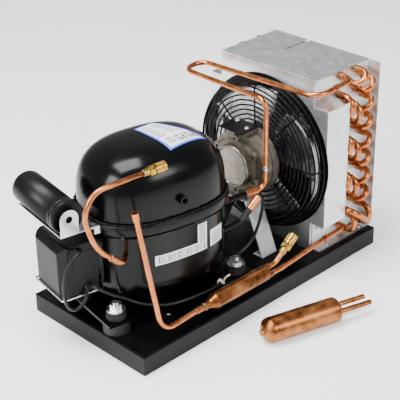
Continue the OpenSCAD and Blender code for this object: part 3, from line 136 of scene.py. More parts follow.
def wornSurface(name, tones, rough, patch, grain, depth, stretch=(1, 1, 1), **shaderInputs):
    material, tree, shader = newMaterial(name, **shaderInputs)
    coords = addNode(tree, "ShaderNodeTexCoord")
    drawn = addNode(tree, "ShaderNodeMapping", {"Vector": (coords, "Object"), "Scale": stretch})
    patches = addNode(tree, "ShaderNodeTexNoise", {"Vector": (drawn, "Vector"), "Scale": perMm(patch),
                                                   "Detail": worn["detail"], "Roughness": worn["roughness"]})
    colour = addNode(tree, "ShaderNodeValToRGB", {"Fac": (patches, "Fac")})
    setRamp(colour, tones)
    gloss = addNode(tree, "ShaderNodeMapRange", {"Value": (patches, "Fac"), "From Min": worn["low"],
                                                 "From Max": worn["high"], "To Min": rough[0],
                                                 "To Max": rough[1]})
    fine = addNode(tree, "ShaderNodeTexNoise", {"Vector": (drawn, "Vector"), "Scale": perMm(grain),
                                                "Detail": worn["grainDetail"]})
    bump = addNode(tree, "ShaderNodeBump", {"Height": (fine, "Fac"), "Distance": depth * mm, "Strength": 1})
    linkSurface(tree, shader, colour, gloss, bump)
    return material


# Powder coat on steel: baked polyester, a fine orange peel with a soft gloss
def blackPowderCoat():
    return wornSurface("blackPowderCoat", [(0.3, "#040405"), (0.7, "#09090a")], (0.28, 0.38), 30, 1.4, 0.03,
                       Metallic=0, Coat_Weight=0.02, Coat_Roughness=0.2, Specular_IOR_Level=0.12)


# Enamel sprayed on the pressed shell: deep black, wetter than the tray, with a long orange peel
def blackEnamel():
    return wornSurface("blackEnamel", [(0.3, "#020203"), (0.75, "#060607")], (0.16, 0.26), 45, 3.2, 0.04,
                       Metallic=0, Coat_Weight=0.04, Coat_Roughness=0.1, Specular_IOR_Level=0.17)


# ABS moulded against a spark-eroded tool: a dry, even black
def mouldedAbs():
    return wornSurface("mouldedAbs", [(0.3, "#070708"), (0.7, "#0f0f11")], (0.3, 0.4), 25, 0.8, 0.02,
                       Metallic=0, Specular_IOR_Level=0.18)


# Phenolic pressed hot in a mould: brown and dull
def pressedPhenolic():
    return wornSurface("pressedPhenolic", [(0.3, "#3a2c22"), (0.7, "#4c3a2c")], (0.5, 0.65), 8, 0.6, 0.03,
                       Metallic=0)


# Nitrile rubber, compression moulded: dark grey with a pale bloom
def nitrileRubber():
    return wornSurface("nitrileRubber", [(0.3, "#141414"), (0.75, "#26262a")], (0.6, 0.8), 9, 0.7, 0.04,
                       Metallic=0)


# PVC extruded as the sleeve of the leads: smooth and softly shining
def extrudedPvc():
    return wornSurface("extrudedPvc", [(0.3, "#060607"), (0.7, "#0c0c0e")], (0.3, 0.42), 12, 1.2, 0.01,
                       Metallic=0, Specular_IOR_Level=0.3)


# Nylon, injection moulded: a milky off-white, half dull
def mouldedNylon():
    return wornSurface("mouldedNylon", [(0.3, "#cfc9b6"), (0.7, "#e2ddcd")], (0.4, 0.5), 4, 0.5, 0.01,
                       Metallic=0)


# Hot-dip galvanised sheet: flat crystals a few mm across, each with its own grey
spangle = {"crystal": 7, "rough": (0.36, 0.44), "cloud": 40, "cloudDetail": 4, "depth": 0.06, "strength": 0.4}


def galvanisedSheet():
    material, tree, shader = newMaterial("galvanisedSheet", Metallic=1)
    coords = addNode(tree, "ShaderNodeTexCoord")
    crystals = addNode(tree, "ShaderNodeTexVoronoi", {"Vector": (coords, "Object"),
                                                      "Scale": perMm(spangle["crystal"])})
    grey = addNode(tree, "ShaderNodeRGBToBW", {"Color": (crystals, "Color")})
    colour = addNode(tree, "ShaderNodeValToRGB", {"Fac": (grey, "Val")})
    setRamp(colour, [(0.1, "#d9dcdd"), (0.5, "#e0e2e3"), (0.9, "#e7e9e9")])
    gloss = addNode(tree, "ShaderNodeMapRange", {"Value": (grey, "Val"), "To Min": spangle["rough"][0],
                                                 "To Max": spangle["rough"][1]})
    cloud = addNode(tree, "ShaderNodeTexNoise", {"Vector": (coords, "Object"),
                                                 "Scale": perMm(spangle["cloud"]),
                                                 "Detail": spangle["cloudDetail"]})
    bump = addNode(tree, "ShaderNodeBump", {"Height": (cloud, "Fac"), "Distance": spangle["depth"] * mm,
                                            "Strength": spangle["strength"]})
    linkSurface(tree, shader, colour, gloss, bump)
    return material


# Zinc electroplated bright on steel: a clean, slightly blue silver
def brightZincPlate():
    return wornSurface("brightZincPlate", [(0.3, "#b9bec4"), (0.7, "#d6d9dc")], (0.2, 0.35), 5, 0.5, 0.01,
                       Metallic=1)


# Drawn copper, weeks after brazing: an even orange with browner patches
def drawnCopper():
    return wornSurface("drawnCopper", [(0.25, "#a2582f"), (0.5, "#bd7040"), (0.8, "#d68d5c")], (0.2, 0.36),
                       14, 0.9, 0.008, Metallic=1)


# Copper spun and brazed hot: reddish brown in clouds, darkened by the flame
def flamedCopper():
    return wornSurface("flamedCopper", [(0.25, "#4c2c18"), (0.45, "#85502c"), (0.6, "#a66c3e"),
                                        (0.8, "#c38a56")], (0.24, 0.44), 18, 0.8, 0.015, Metallic=1)


# Free-cutting brass, turned from bar: a bright yellow, browner in patches
def turnedBrass():
    return wornSurface("turnedBrass", [(0.3, "#8f6b26"), (0.7, "#c9a450")], (0.2, 0.32), 4, 0.4, 0.01,
                       Metallic=1)


# Silver brazing alloy, cooled as it ran: grey and a little rough
def silverSolder():
    return wornSurface("silverSolder", [(0.3, "#5f594f"), (0.7, "#98907f")], (0.3, 0.5), 2.5, 0.8, 0.08,
                       Metallic=1)


# Rolled aluminium foil and sheet: bright, with the mill's lines along Z
def rolledAluminium():
    return wornSurface("rolledAluminium", [(0.3, "#b8babb"), (0.7, "#dcdddd")], (0.22, 0.36), 22, 1.1, 0.01,
                       stretch=(3, 3, 0.4), Metallic=1)


# Pressure die cast aluminium: matt warm grey skin with a sandy grain
def castAluminium():
    return wornSurface("castAluminium", [(0.3, "#5f5a51"), (0.55, "#7b756a"), (0.8, "#928c80")], (0.48, 0.66),
                       11, 0.7, 0.05, Metallic=0.85)


# The same casting with its lip turned bright
def polishedCast():
    return wornSurface("polishedCast", [(0.3, "#736e65"), (0.7, "#9c968a")], (0.26, 0.38), 8, 0.6, 0.02,
                       Metallic=1)


# Steel sheets punched and stacked: dark grey, in patches that are thin along Z
def laminatedSteel():
    return wornSurface("laminatedSteel", [(0.3, "#3c3e41"), (0.7, "#55585b")], (0.4, 0.55), 6, 0.5, 0.03,
                       stretch=(1, 1, 4), Metallic=1)


# Iron cast in sand: dark, dry and grainy
def castIron():
    return wornSurface("castIron", [(0.3, "#3a3a3a"), (0.7, "#525252")], (0.5, 0.65), 8, 0.8, 0.05,
                       Metallic=1)


# Beads of desiccant baked into a block: chalky and knobbly
def beadDesiccant():
    return wornSurface("beadDesiccant", [(0.3, "#b5ac98"), (0.7, "#d8d1bf")], (0.7, 0.85), 3, 1.6, 0.4,
                       Metallic=0)


# Coated paper, printed: flat colour with an even, faint sheen
def printedPaper(name, tones):
    return wornSurface(name, tones, (0.3, 0.4), 12, 0.5, 0.01, Metallic=0)


finishes = {
    blackPowderCoat: ["base_tray", "fan_ring", "fan_guard", "motor_top_plate"],
    blackEnamel: ["compressor_lower_shell", "compressor_upper_shell", "shell_stubs", "mounting_feet",
                  "terminal_fence"],
    mouldedAbs: ["relay_cover", "capacitor_can", "capacitor_cap"],
    pressedPhenolic: ["starting_device"],
    nitrileRubber: ["rubber_grommets", "process_cap_seal", "access_cap_seal"],
    extrudedPvc: ["leads"],
    mouldedNylon: ["cable_tie"],
    galvanisedSheet: ["capacitor_bracket", "near_end_plate", "far_end_plate", "shroud", "coil_brackets",
                      "motor_legs"],
    brightZincPlate: ["grommet_sleeves", "mounting_studs", "cover_clip", "process_valve_pin", "zinc_screws",
                      "motor_shaft", "motor_bearings", "access_valve_pin", "support_springs"],
    drawnCopper: ["process_tube", "discharge_line", "coil_tubes", "return_bends", "outlet_tube",
                  "access_tube", "liquid_line", "tube_couplings"],
    flamedCopper: ["drier_shell", "spare_drier"],
    turnedBrass: ["valve_bodies", "process_cap", "access_cap"],
    rolledAluminium: ["coil_fins", "fan_blades", "fan_hub"],
    castAluminium: ["motor_housing"],
    polishedCast: ["motor_cap"],
    laminatedSteel: ["motor_stator", "motor_rotor", "pump_stator", "pump_rotor"],
    castIron: ["crankshaft", "cylinder_block", "piston", "connecting_rod"],
    beadDesiccant: ["drier_desiccant"],
    silverSolder: [],  # only on the fillets added below
}
made = {}
for maker, names in finishes.items():
    made[maker] = maker()
    for name in names:
        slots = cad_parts[name].data.materials
        slots.clear()
        slots.append(made[maker])
print("materials made:", len(made))


# Points are in mm; the finish is one of the makers above or a material
def addPiece(name, points, faces, finish, body="unit", smooth=True):
    data = bpy.data.meshes.new(name)
    data.from_pydata([Vector(p) * mm for p in points], [], faces)
    data.validate()
    if smooth:
        data.shade_smooth()
    data.materials.append(made.get(finish, finish))
    obj = addObject(name, data)
    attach(obj, body)
    return obj


# Faces of a closed or open skin over rings of equally many points
def skinFaces(rings, count, capEnds=True):
    faces = []
    for j in range(rings - 1):
        row, after = j * count, (j + 1) * count
        faces += [(row + i, row + (i + 1) % count, after + (i + 1) % count, after + i) for i in range(count)]
    if capEnds:
        faces.append(tuple(reversed(range(count))))
        faces.append(tuple((rings - 1) * count + i for i in range(count)))
    return faces


def addSkin(name, rings, finish, smooth=True):
    points = [p for ring in rings for p in ring]
    return addPiece(name, points, skinFaces(len(rings), len(rings[0])), finish, smooth=smooth)


# Faces of a thin closed sheet: two grids of points, one after the other, and the rim between them
def sheetFaces(base, columns, rows, flip=False):
    row, half = rows + 1, (rows + 1) * (columns + 1)
    faces = []
    for i in range(columns):
        for j in range(rows):
            a = base + i * row + j
            faces.append((a, a + 1, a + row + 1, a + row))
            faces.append((half + a, half + a + row, half + a + row + 1, half + a + 1))
    rim = [i * row for i in range(columns)] + [columns * row + j for j in range(rows)]
    rim += [i * row + rows for i in range(columns, 0, -1)] + list(range(rows, 0, -1))
    for a, b in zip(rim, rim[1:] + rim[:1]):
        faces.append((base + a, base + b, base + half + b, base + half + a))
    return [face[:1] + face[:0:-1] for face in faces] if flip else faces


# Compressor shell: pressed in two halves, with a squared-off plan and dome; angles in degrees
shell = {"centre": (-97, 3), "turn": -10, "halfLength": 87.4, "halfWidth": 66.6, "floor": 42, "seam": 154,
         "dome": 75, "belly": 50, "planPower": 2.6, "domePower": 3.2, "planPoints": 144,
         "bellyAngle": 62.3, "bellySteps": 24, "domeAngle": 86.5, "domeSteps": 40,
         "lipHeight": 12, "hemOut": 0.1, "hemDrop": 1}
# Lip of the lower half as (out, up), from the lip's foot and then from the seam
lipFlare = [(0, -6), (0.4, -4.2), (1.4, -2.4), (2.8, -1), (3.8, 0.4), (4.1, 1.8)]
lipRim = [(4.1, -0.8), (3.8, -0.2), (3.2, 0), (0.3, 0)]


def fromCompressor(x, y, z):
    turn = math.radians(shell["turn"])
    return (shell["centre"][0] + x * math.cos(turn) - y * math.sin(turn),
            shell["centre"][1] + x * math.sin(turn) + y * math.cos(turn), z)


def signedPower(value, power):
    return math.copysign(abs(value) ** power, value)


# A point of the squared-off oval whose half length and half width are a and b
def ovalPoint(a, b, t, z):
    power = 2 / shell["planPower"]
    return fromCompressor(a * signedPower(math.cos(t), power), b * signedPower(math.sin(t), power), z)


def ovalRing(a, b, z):
    return [ovalPoint(a, b, 2 * math.pi * i / shell["planPoints"], z) for i in range(shell["planPoints"])]


def shellShare(t):
    power = 2 / shell["domePower"]
    return math.cos(math.radians(t)) ** power, math.sin(math.radians(t)) ** power


def makeShells():
    s = shell
    a, b = s["halfLength"], s["halfWidth"]
    bellyTop = s["floor"] + s["belly"] * shellShare(s["bellyAngle"])[1]
    lower = []
    for k in range(s["bellySteps"], -1, -1):
        wide, tall = shellShare(s["bellyAngle"] * k / s["bellySteps"])
        lower.append(ovalRing(a * wide, b * wide, bellyTop - s["belly"] * tall))
    lip = s["seam"] - s["lipHeight"]
    for start, profile in ((lip, lipFlare), (s["seam"], lipRim)):
        lower += [ovalRing(a + out, b + out, start + rise) for out, rise in profile]
    piece = addSkin("lowerShell", lower, blackEnamel)
    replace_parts(piece, "compressor_lower_shell")
    upper = [ovalRing(a + s["hemOut"], b + s["hemOut"], s["seam"] - s["hemDrop"])]
    for k in range(s["domeSteps"] + 1):
        wide, tall = shellShare(s["domeAngle"] * k / s["domeSteps"])
        upper.append(ovalRing(a * wide, b * wide, s["seam"] + s["dome"] * tall))
    piece = addSkin("upperShell", upper, blackEnamel)
    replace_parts(piece, "compressor_upper_shell")


makeShells()
print("compressor shells made")

# Fan blades: pressed sheet, flat at the root, then pitched and cambered
blade = {"count": 4, "x": 91.4, "y": 1, "z": 142, "root": 14, "tip": 86, "flat": 28, "span": 68, "depth": 16,
         "camber": 4, "start": 34, "sheet": 1.2, "steps": 28, "rows": 20, "rampShare": 0.4, "rootShare": 0.72}


def bladePoint(across, along, lift, middle):
    b = blade
    r = b["root"] + (b["tip"] - b["root"]) * along
    rise = min(max((r - b["flat"]) / (b["tip"] * b["rampShare"]), 0), 1)
    ease = rise * rise * (3 - 2 * rise)
    s = across - 0.5
    bow = 1 - 4 * s * s  # 0 at the blade's two edges, 1 halfway
    angle = math.radians(middle + s * b["span"] * (b["rootShare"] + (1 - b["rootShare"]) * ease))
    x = b["depth"] * ease * s + b["camber"] * ease * bow + lift
    return b["x"] + x, b["y"] + r * math.cos(angle), b["z"] + r * math.sin(angle)


def makeBlades():
    b = blade
    points, faces = [], []
    for k in range(b["count"]):
        middle = 360 * k / b["count"] + b["start"] + b["span"] / 2
        faces += sheetFaces(len(points), b["steps"], b["rows"])
        for lift in (0, b["sheet"]):
            points += [bladePoint(i / b["steps"], j / b["rows"], lift, middle)
                       for i in range(b["steps"] + 1) for j in range(b["rows"] + 1)]
    piece = addPiece("pressedBlades", points, faces, rolledAluminium, "fan")
    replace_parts(piece, "fan_blades")


makeBlades()
print("fan blades made")

# Coil fins: thin rippled foil, closer together than the CAD model's
fins = {"pitch": 2.1, "sheet": 0.15, "ripple": 0.5, "wave": 7.8, "steps": 48, "margin": 0.6}


def makeFins():
    low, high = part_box("coil_fins")
    x0, y0, z0 = (c / mm for c in low)
    x1, y1, z1 = (c / mm for c in high)
    points, faces = [], []
    count = int((y1 - y0) / fins["pitch"])
    for k in range(count + 1):
        y = y0 + fins["margin"] + (y1 - y0 - 2 * fins["margin"]) * k / count
        faces += sheetFaces(len(points), fins["steps"], 1)
        for side in (0, fins["sheet"]):
            for i in range(fins["steps"] + 1):
                x = x0 + (x1 - x0) * i / fins["steps"]
                wave = fins["ripple"] * math.sin(2 * math.pi * (x - x0) / fins["wave"])
                points += [(x, y + side + wave, z0), (x, y + side + wave, z1)]
    piece = addPiece("foilFins", points, faces, rolledAluminium)
    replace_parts(piece, "coil_fins")


makeFins()
print("fins made")


# Sweeps a round section along a path; radius is one number or one for each point
def addTube(name, path, radius, sides, finish, closed=False):
    path = [Vector(p) for p in path]
    count = len(path)
    points, normal = [], None
    for i, place in enumerate(path):
        before = path[i - 1] if closed or i else path[i]
        after = path[(i + 1) % count] if closed or i < count - 1 else path[i]
        along = (after - before).normalized()
        if normal is None:
            normal = along.orthogonal().normalized()
        normal = (normal - along * normal.dot(along)).normalized()
        other = along.cross(normal)
        r = radius[i] if isinstance(radius, list) else radius
        points += [place + (normal * math.cos(a) + other * math.sin(a)) * r
                   for a in (2 * math.pi * k / sides for k in range(sides))]
    faces = skinFaces(count, sides, not closed)
    if closed:
        last = (count - 1) * sides
        faces += [(last + k, last + (k + 1) % sides, (k + 1) % sides, k) for k in range(sides)]
    return addPiece(name, points, faces, finish)


# Turns a profile of (radius, along) about an axis
def addTurned(name, origin, axis, profile, finish, steps=72):
    axis = Vector(axis).normalized()
    side = axis.orthogonal().normalized()
    other = axis.cross(side)
    points = [Vector(origin) + axis * h + (side * math.cos(a) + other * math.sin(a)) * r
              for r, h in profile for a in (2 * math.pi * k / steps for k in range(steps))]
    return addPiece(name, points, skinFaces(len(profile), steps), finish)


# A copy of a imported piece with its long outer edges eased: lengths in mm, angles in degrees
easing = {"merge": 0.002, "flat": 1, "sharp": 20, "shortest": 12, "segments": 3}


def easeEdges(name, node, width, finish):
    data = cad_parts[node].data.copy()
    mesh = bmesh.new()
    mesh.from_mesh(data)
    bmesh.ops.remove_doubles(mesh, verts=mesh.verts, dist=easing["merge"] * mm)
    bmesh.ops.dissolve_limit(mesh, angle_limit=math.radians(easing["flat"]), verts=mesh.verts,
                             edges=mesh.edges)
    edges = [e for e in mesh.edges if e.is_manifold and e.calc_length() > easing["shortest"] * mm
             and e.calc_face_angle_signed() > math.radians(easing["sharp"])]
    bmesh.ops.bevel(mesh, geom=edges, offset=width * mm, segments=easing["segments"], profile=0.5,
                    affect="EDGES")
    mesh.to_mesh(data)
    mesh.free()
    data.shade_flat()
    data.materials.clear()
    data.materials.append(made[finish])
    obj = addObject(name, data)
    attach(obj, "unit")
    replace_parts(obj, node)


easeEdges("relayCover", "relay_cover", 1.3, mouldedAbs)
easeEdges("foldedShroud", "shroud", 0.3, galvanisedSheet)
easeEdges("bentLegs", "motor_legs", 0.6, galvanisedSheet)
easeEdges("capacitorBracket", "capacitor_bracket", 0.4, brightZincPlate)
print("edges eased")

# Capacitor: black can with a stepped lid, both along the compressor's width
capacitor = {"x": -125, "y": -27, "z": 173.15, "length": 97, "radius": 19.5, "round": 4, "roundSteps": 8,
             "lid": 12, "lidProud": 0.5, "lidEdge": 0.6, "panel": 1.3, "lap": 0.1, "axis": 0.1}
# The lid's outline as (in from its rim, along)
lidOutline = [(3.6, 1.3), (3, 0.9), (2.5, 0.3), (1.7, 0), (0.7, 0.3), (0.1, 1.1), (0, 2), (0, 5.8),
              (0.2, 6.5), (0.9, 6.9), (0.9, 7.6), (0.2, 8), (0, 8.6), (0, 11.2), (0.2, 11.8)]


def makeCapacitor():
    c = capacitor
    origin = fromCompressor(c["x"], c["y"], c["z"])
    axis = Vector(fromCompressor(c["x"], c["y"] + 1, c["z"])) - Vector(origin)
    rim = c["radius"] + c["lidProud"]
    lid = [(c["axis"], c["panel"])] + [(rim - inset, along) for inset, along in lidOutline]
    lid += [(rim - c["lidEdge"], c["lid"]), (c["axis"], c["lid"])]
    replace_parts(addTurned("capacitorLid", origin, axis, lid, mouldedAbs), "capacitor_cap")
    can = [(c["axis"], c["lid"] + c["lap"]), (c["radius"], c["lid"] + c["lap"])]
    for k in range(c["roundSteps"] + 1):
        a = math.radians(90 * k / c["roundSteps"])
        can.append((c["radius"] - c["round"] * (1 - math.cos(a)),
                    c["length"] - c["round"] * (1 - math.sin(a))))
    can.append((c["axis"], c["length"]))
    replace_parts(addTurned("capacitorCan", origin, axis, can, mouldedAbs), "capacitor_can")


makeCapacitor()

# Rounded plate on the relay cover's side, raised as the moulding is; its foot is (in from its edge, lift)
panel = {"y": -31, "x0": -132, "x1": -99, "low": 76, "high": 129, "corner": 6, "cornerSteps": 8, "rise": 0.9,
         "ease": 0.3, "slope": 9, "foot": [(-0.9, -0.3), (-0.3, 0.1)]}


def makeCoverPanel():
    p = panel
    c = p["corner"]
    corners = [(p["x1"] - c, p["high"] - c, 0), (p["x0"] + p["slope"] + c, p["high"] - c, 90),
               (p["x0"] + c, p["low"] + c, 180), (p["x1"] - c, p["low"] + c, 270)]
    rings = []
    for inset, lift in p["foot"] + [(0, p["rise"] - p["ease"]), (p["ease"], p["rise"])]:
        ring = []
        for x, z, start in corners:
            for k in range(p["cornerSteps"] + 1):
                a = math.radians(start + 90 * k / p["cornerSteps"])
                r = c - inset
                ring.append(fromCompressor(x + r * math.cos(a), p["y"] - lift, z + r * math.sin(a)))
        rings.append(ring)
    addSkin("coverPanel", rings, mouldedAbs, smooth=False)


makeCoverPanel()
print("relay cover and capacitor made")

# Weld round the seam: an uneven run of beads, from waves of (how many round the seam, share, phase)
weld = {"out": 1.7, "z": 154.7, "radius": 1.6, "swell": 0.3, "points": 960, "sides": 10, "wander": 0.15,
        "climb": 0.1, "waves": [(120, 1, 0), (37, 0.6, 1), (83, 0.5, 2)]}


def makeWeld():
    w = weld
    path, radii = [], []
    for i in range(w["points"]):
        t = 2 * math.pi * i / w["points"]
        wobble = sum(share * math.sin(count * t + phase) for count, share, phase in w["waves"])
        out = w["out"] + w["wander"] * wobble
        path.append(ovalPoint(shell["halfLength"] + out, shell["halfWidth"] + out, t,
                              w["z"] + w["climb"] * wobble))
        radii.append(w["radius"] + w["swell"] * wobble)
    addTube("seamWeld", path, radii, w["sides"], blackPowderCoat, closed=True)


makeWeld()

# Labels, all plain, with rows of nothing in particular: a nameplate on the dome, a strip and a sticker on the
# wall. The nameplate's edge, rows and cells are shares of its width and height. The strip's gap, thin, wider
# and postShare and the sticker's share are shares of the pitch of its bars or rows.
film = 0.08  # thickness of a printed layer
nameplate = {"corners": ((-6.3, 23.4), (22.2, 28.7), (58.8, -30), (1.9, -41)), "edgeAcross": 0.063,
             "edgeAlong": 0.035, "lift": 0.3, "ink": 0.12, "steps": 24, "rowSteps": 6, "cellSteps": 1}
plateRows = [{"left": 0.12, "top": 0.1, "pitch": 0.055, "tall": 0.025, "count": 10,
              "lengths": (0.3, 0.24, 0.34, 0.2)},
             {"left": 0.54, "top": 0.12, "pitch": 0.05, "tall": 0.02, "count": 10,
              "lengths": (0.34, 0.28, 0.36)},
             {"left": 0.14, "top": 0.7, "pitch": 0.05, "tall": 0.025, "count": 4, "lengths": (0.2,)}]
plateCells = {"lefts": (0.4, 0.68), "top": 0.72, "wide": 0.03, "tall": 0.024, "count": 8}
strip = {"left": -37.8, "right": 33.3, "low": 98.3, "high": 111, "lift": 0.3, "ink": 0.1, "steps": 16,
         "inkSteps": 2, "bars": 23, "margin": 2, "gap": 0.3, "thin": 0.2, "wider": 0.12,
         "postLeft": 19.5, "postHigh": 134.4, "postBars": 9, "postMargin": 2.5, "postShare": 0.45}
sticker = {"left": 38.6, "right": 60.5, "low": 98.4, "high": 120, "lift": 0.3, "ink": 0.1, "steps": 12,
           "inkSteps": 3, "rows": 5, "margin": 3, "indent": 2, "share": 0.4}


# Thin closed rectangles (u0, v0, u1, v1) laid on a surface that placeAt(u, v, lift) gives
def addPrint(name, placeAt, rects, lift, finish, steps):
    points, faces = [], []
    for u0, v0, u1, v1 in rects:
        faces += sheetFaces(len(points), steps, steps, flip=True)
        for height in (lift, lift - film):
            points += [placeAt(u0 + (u1 - u0) * i / steps, v0 + (v1 - v0) * j / steps, height)
                       for i in range(steps + 1) for j in range(steps + 1)]
    addPiece(name, points, faces, finish)


def onDome(u, v, lift):
    a, b, c, d = nameplate["corners"]
    x = (1 - v) * ((1 - u) * a[0] + u * b[0]) + v * ((1 - u) * d[0] + u * c[0])
    y = (1 - v) * ((1 - u) * a[1] + u * b[1]) + v * ((1 - u) * d[1] + u * c[1])
    power = shell["planPower"]
    out = (abs(x / shell["halfLength"]) ** power + abs(y / shell["halfWidth"]) ** power) ** (1 / power)
    rise = (1 - out ** shell["domePower"]) ** (1 / shell["domePower"])
    return fromCompressor(x, y, shell["seam"] + shell["dome"] * rise + lift)


def onWall(x, z, lift):
    share = (1 - abs(x / shell["halfLength"]) ** shell["planPower"]) ** (1 / shell["planPower"])
    return fromCompressor(x, -shell["halfWidth"] * share - lift, z)


def makeNameplate(white, blue, grey, dark):
    n, c = nameplate, plateCells
    across, along = n["edgeAcross"], n["edgeAlong"]
    addPrint("nameplateBorder", onDome, [(0, 0, 1, 1)], n["lift"], blue, n["steps"])
    addPrint("nameplateFace", onDome, [(across, along, 1 - across, 1 - along)], n["lift"] + n["ink"], white,
             n["steps"])
    rows = []
    for block in plateRows:
        for k in range(block["count"]):
            top = block["top"] + block["pitch"] * k
            long = block["lengths"][k % len(block["lengths"])]
            rows.append((block["left"], top, block["left"] + long, top + block["tall"]))
    addPrint("nameplateRows", onDome, rows, n["lift"] + 2 * n["ink"], grey, n["rowSteps"])
    # The remainder is a plain rule that fills about half of the cells
    cells = [(left + c["wide"] * i, c["top"] + c["tall"] * j, left + c["wide"] * (i + 1),
              c["top"] + c["tall"] * (j + 1)) for left in c["lefts"] for i in range(c["count"])
             for j in range(c["count"]) if (i * 5 + j * 3 + i * j) % 7 < 4]
    addPrint("nameplateCells", onDome, cells, n["lift"] + 2 * n["ink"], dark, n["cellSteps"])


def makeStrip(white, grey):
    s = strip
    addPrint("wallStrip", onWall, [(s["left"], s["low"], s["right"], s["high"]),
                                   (s["postLeft"], s["high"], s["right"], s["postHigh"])],
             s["lift"], white, s["steps"])
    width = (s["right"] - s["left"]) / s["bars"]
    bars = []
    for k in range(1, s["bars"] - 1):
        left = s["left"] + width * (k + s["gap"])
        share = s["thin"] + s["wider"] * (k * 7 % 4)  # four widths in turn
        bars.append((left, s["low"] + s["margin"], left + width * share, s["high"] - s["margin"]))
    height = (s["postHigh"] - s["high"]) / s["postBars"]
    bars += [(s["postLeft"] + s["postMargin"], s["high"] + height * k, s["right"] - s["postMargin"],
              s["high"] + height * (k + s["postShare"])) for k in range(s["postBars"])]
    addPrint("wallStripBars", onWall, bars, s["lift"] + s["ink"], grey, s["inkSteps"])


def makeSticker(white, grey):
    t = sticker
    addPrint("wallSticker", onWall, [(t["left"], t["low"], t["right"], t["high"])], t["lift"], white,
             t["steps"])
    height = (t["high"] - t["low"]) / (t["rows"] + 2)
    rows = []
    for k in range(t["rows"]):
        low = t["low"] + height * (k + 1)
        right = t["right"] - t["margin"] - t["indent"] * (k % 2)
        rows.append((t["left"] + t["margin"], low, right, low + height * t["share"]))
    addPrint("stickerRows", onWall, rows, t["lift"] + t["ink"], grey, t["inkSteps"])


def makeLabels():
    white = printedPaper("whiteLabelStock", [(0.3, "#e6e8ec"), (0.7, "#f2f3f5")])
    blue = printedPaper("blueLabelInk", [(0.3, "#2f55c8"), (0.7, "#3b63da")])
    grey = printedPaper("greyLabelInk", [(0.3, "#6c7078"), (0.7, "#83878e")])
    dark = printedPaper("darkLabelInk", [(0.3, "#25272b"), (0.7, "#34363b")])
    makeNameplate(white, blue, grey, dark)
    makeStrip(white, grey)
    makeSticker(white, grey)


makeLabels()
print("labels laid")

# Leads: the same routes as the solids', the first in the compressor's own frame
leads = {"radius": 2, "steps": 6, "sides": 14}
relayLead = [(-116, -27, 132), (-116, -34, 132), (-121, -38, 131), (-130, -39, 126), (-138, -39, 114),
             (-142, -39, 98), (-142, -39, 80), (-138, -39, 68), (-130, -39, 62), (-120, -39, 66),
             (-114, -38, 74), (-112, -34, 83), (-112, -27, 83)]
fanLead = [(-206, -5, 84), (-207.5, -14, 84), (-206, -21, 83), (-200, -26, 78), (-190, -28, 70),
           (-178, -31, 62), (-165, -39, 53), (-153, -48, 48), (-138, -60, 46), (-122, -67, 46),
           (-104, -71, 46), (-84, -74, 46), (-66, -74, 46), (-50, -66, 46), (-36, -54, 48), (-21, -46, 50),
           (0, -46, 50), (22, -47, 60), (38, -45, 80), (48, -41, 97), (53, -35, 106), (53, -28.5, 112.5)]

# Nylon tie round the fan's lead, between two of its points: a band, a head and a tail that bends away
tie = {"after": 12, "wide": 4.5, "thick": 1.1, "clear": 0.05, "side": 0.2, "edge": 0.3, "steps": 40,
       "headOut": 1.4, "headRadius": 2.1, "tailRadius": 1.1, "tailSides": 6, "tailPoints": 9, "tailStep": 1.5,
       "tailBend": 0.12}


# A smooth curve through all the points
def smoothPath(points, steps):
    p = [Vector(q) for q in points]
    path = []
    for i in range(len(p) - 1):
        a, b, c, d = p[max(i - 1, 0)], p[i], p[i + 1], p[min(i + 2, len(p) - 1)]
        for k in range(steps):
            u = k / steps
            path.append(0.5 * (2 * b + (c - a) * u + (2 * a - 5 * b + 4 * c - d) * u * u
                               + (3 * b - a - 3 * c + d) * u ** 3))
    return path + [p[-1]]


def makeLeads():
    near = addTube("relayLead", smoothPath([fromCompressor(*p) for p in relayLead], leads["steps"]),
                   leads["radius"], leads["sides"], extrudedPvc)
    addTube("fanLead", smoothPath(fanLead, leads["steps"]), leads["radius"], leads["sides"], extrudedPvc)
    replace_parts(near, "leads")


def makeTie():
    t = tie
    a, b = Vector(fanLead[t["after"]]), Vector(fanLead[t["after"] + 1])
    along, middle, half = (b - a).normalized(), (a + b) / 2, t["wide"] / 2
    inner = leads["radius"] + t["clear"]
    outer = inner + t["thick"]
    profile = [(inner, -half), (outer - t["side"], -half), (outer, -half + t["edge"]),
               (outer, half - t["edge"]), (outer - t["side"], half), (inner, half), (inner, -half)]
    band = addTurned("tieBand", middle, along, profile, mouldedNylon, steps=t["steps"])
    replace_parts(band, "cable_tie")
    side = along.cross(upward).normalized()
    tip = middle + side * (outer + t["headOut"])
    tail = [tip + upward * t["tailStep"] * k + side * t["tailBend"] * k * k
            for k in range(-1, t["tailPoints"])]
    addTube("tieTail", tail, [t["headRadius"]] + [t["tailRadius"]] * t["tailPoints"], t["tailSides"],
            mouldedNylon)


makeLeads()
makeTie()
print("leads made")

# Process tube: the solid's route, with the long soft bends of a tube turned round a mandrel
processTube = {"route": [(-64, -42, 112), (-80, -66, 117), (-114, -66, 147), (-127, -66, 192),
                         (-112, -66, 217), (-44, -66, 221)],
               "bends": (9, 19, 14, 14), "radius": 3.175, "steps": 12, "sides": 28}
processRoute = [Vector(fromCompressor(*p)) for p in processTube["route"]]


def bentPath(route, bends, steps):
    path = [route[0]]
    for before, knee, after, bend in zip(route, route[1:], route[2:], bends):
        start = knee + (before - knee).normalized() * bend
        end = knee + (after - knee).normalized() * bend
        for k in range(steps + 1):
            u = k / steps
            path.append(start * (1 - u) ** 2 + knee * 2 * u * (1 - u) + end * u ** 2)
    return path + [route[-1]]


def makeProcessTube():
    t = processTube
    path = bentPath(processRoute, t["bends"], t["steps"])
    tube = addTube("processTube", path, t["radius"], t["sides"], drawnCopper)
    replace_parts(tube, "process_tube")


makeProcessTube()

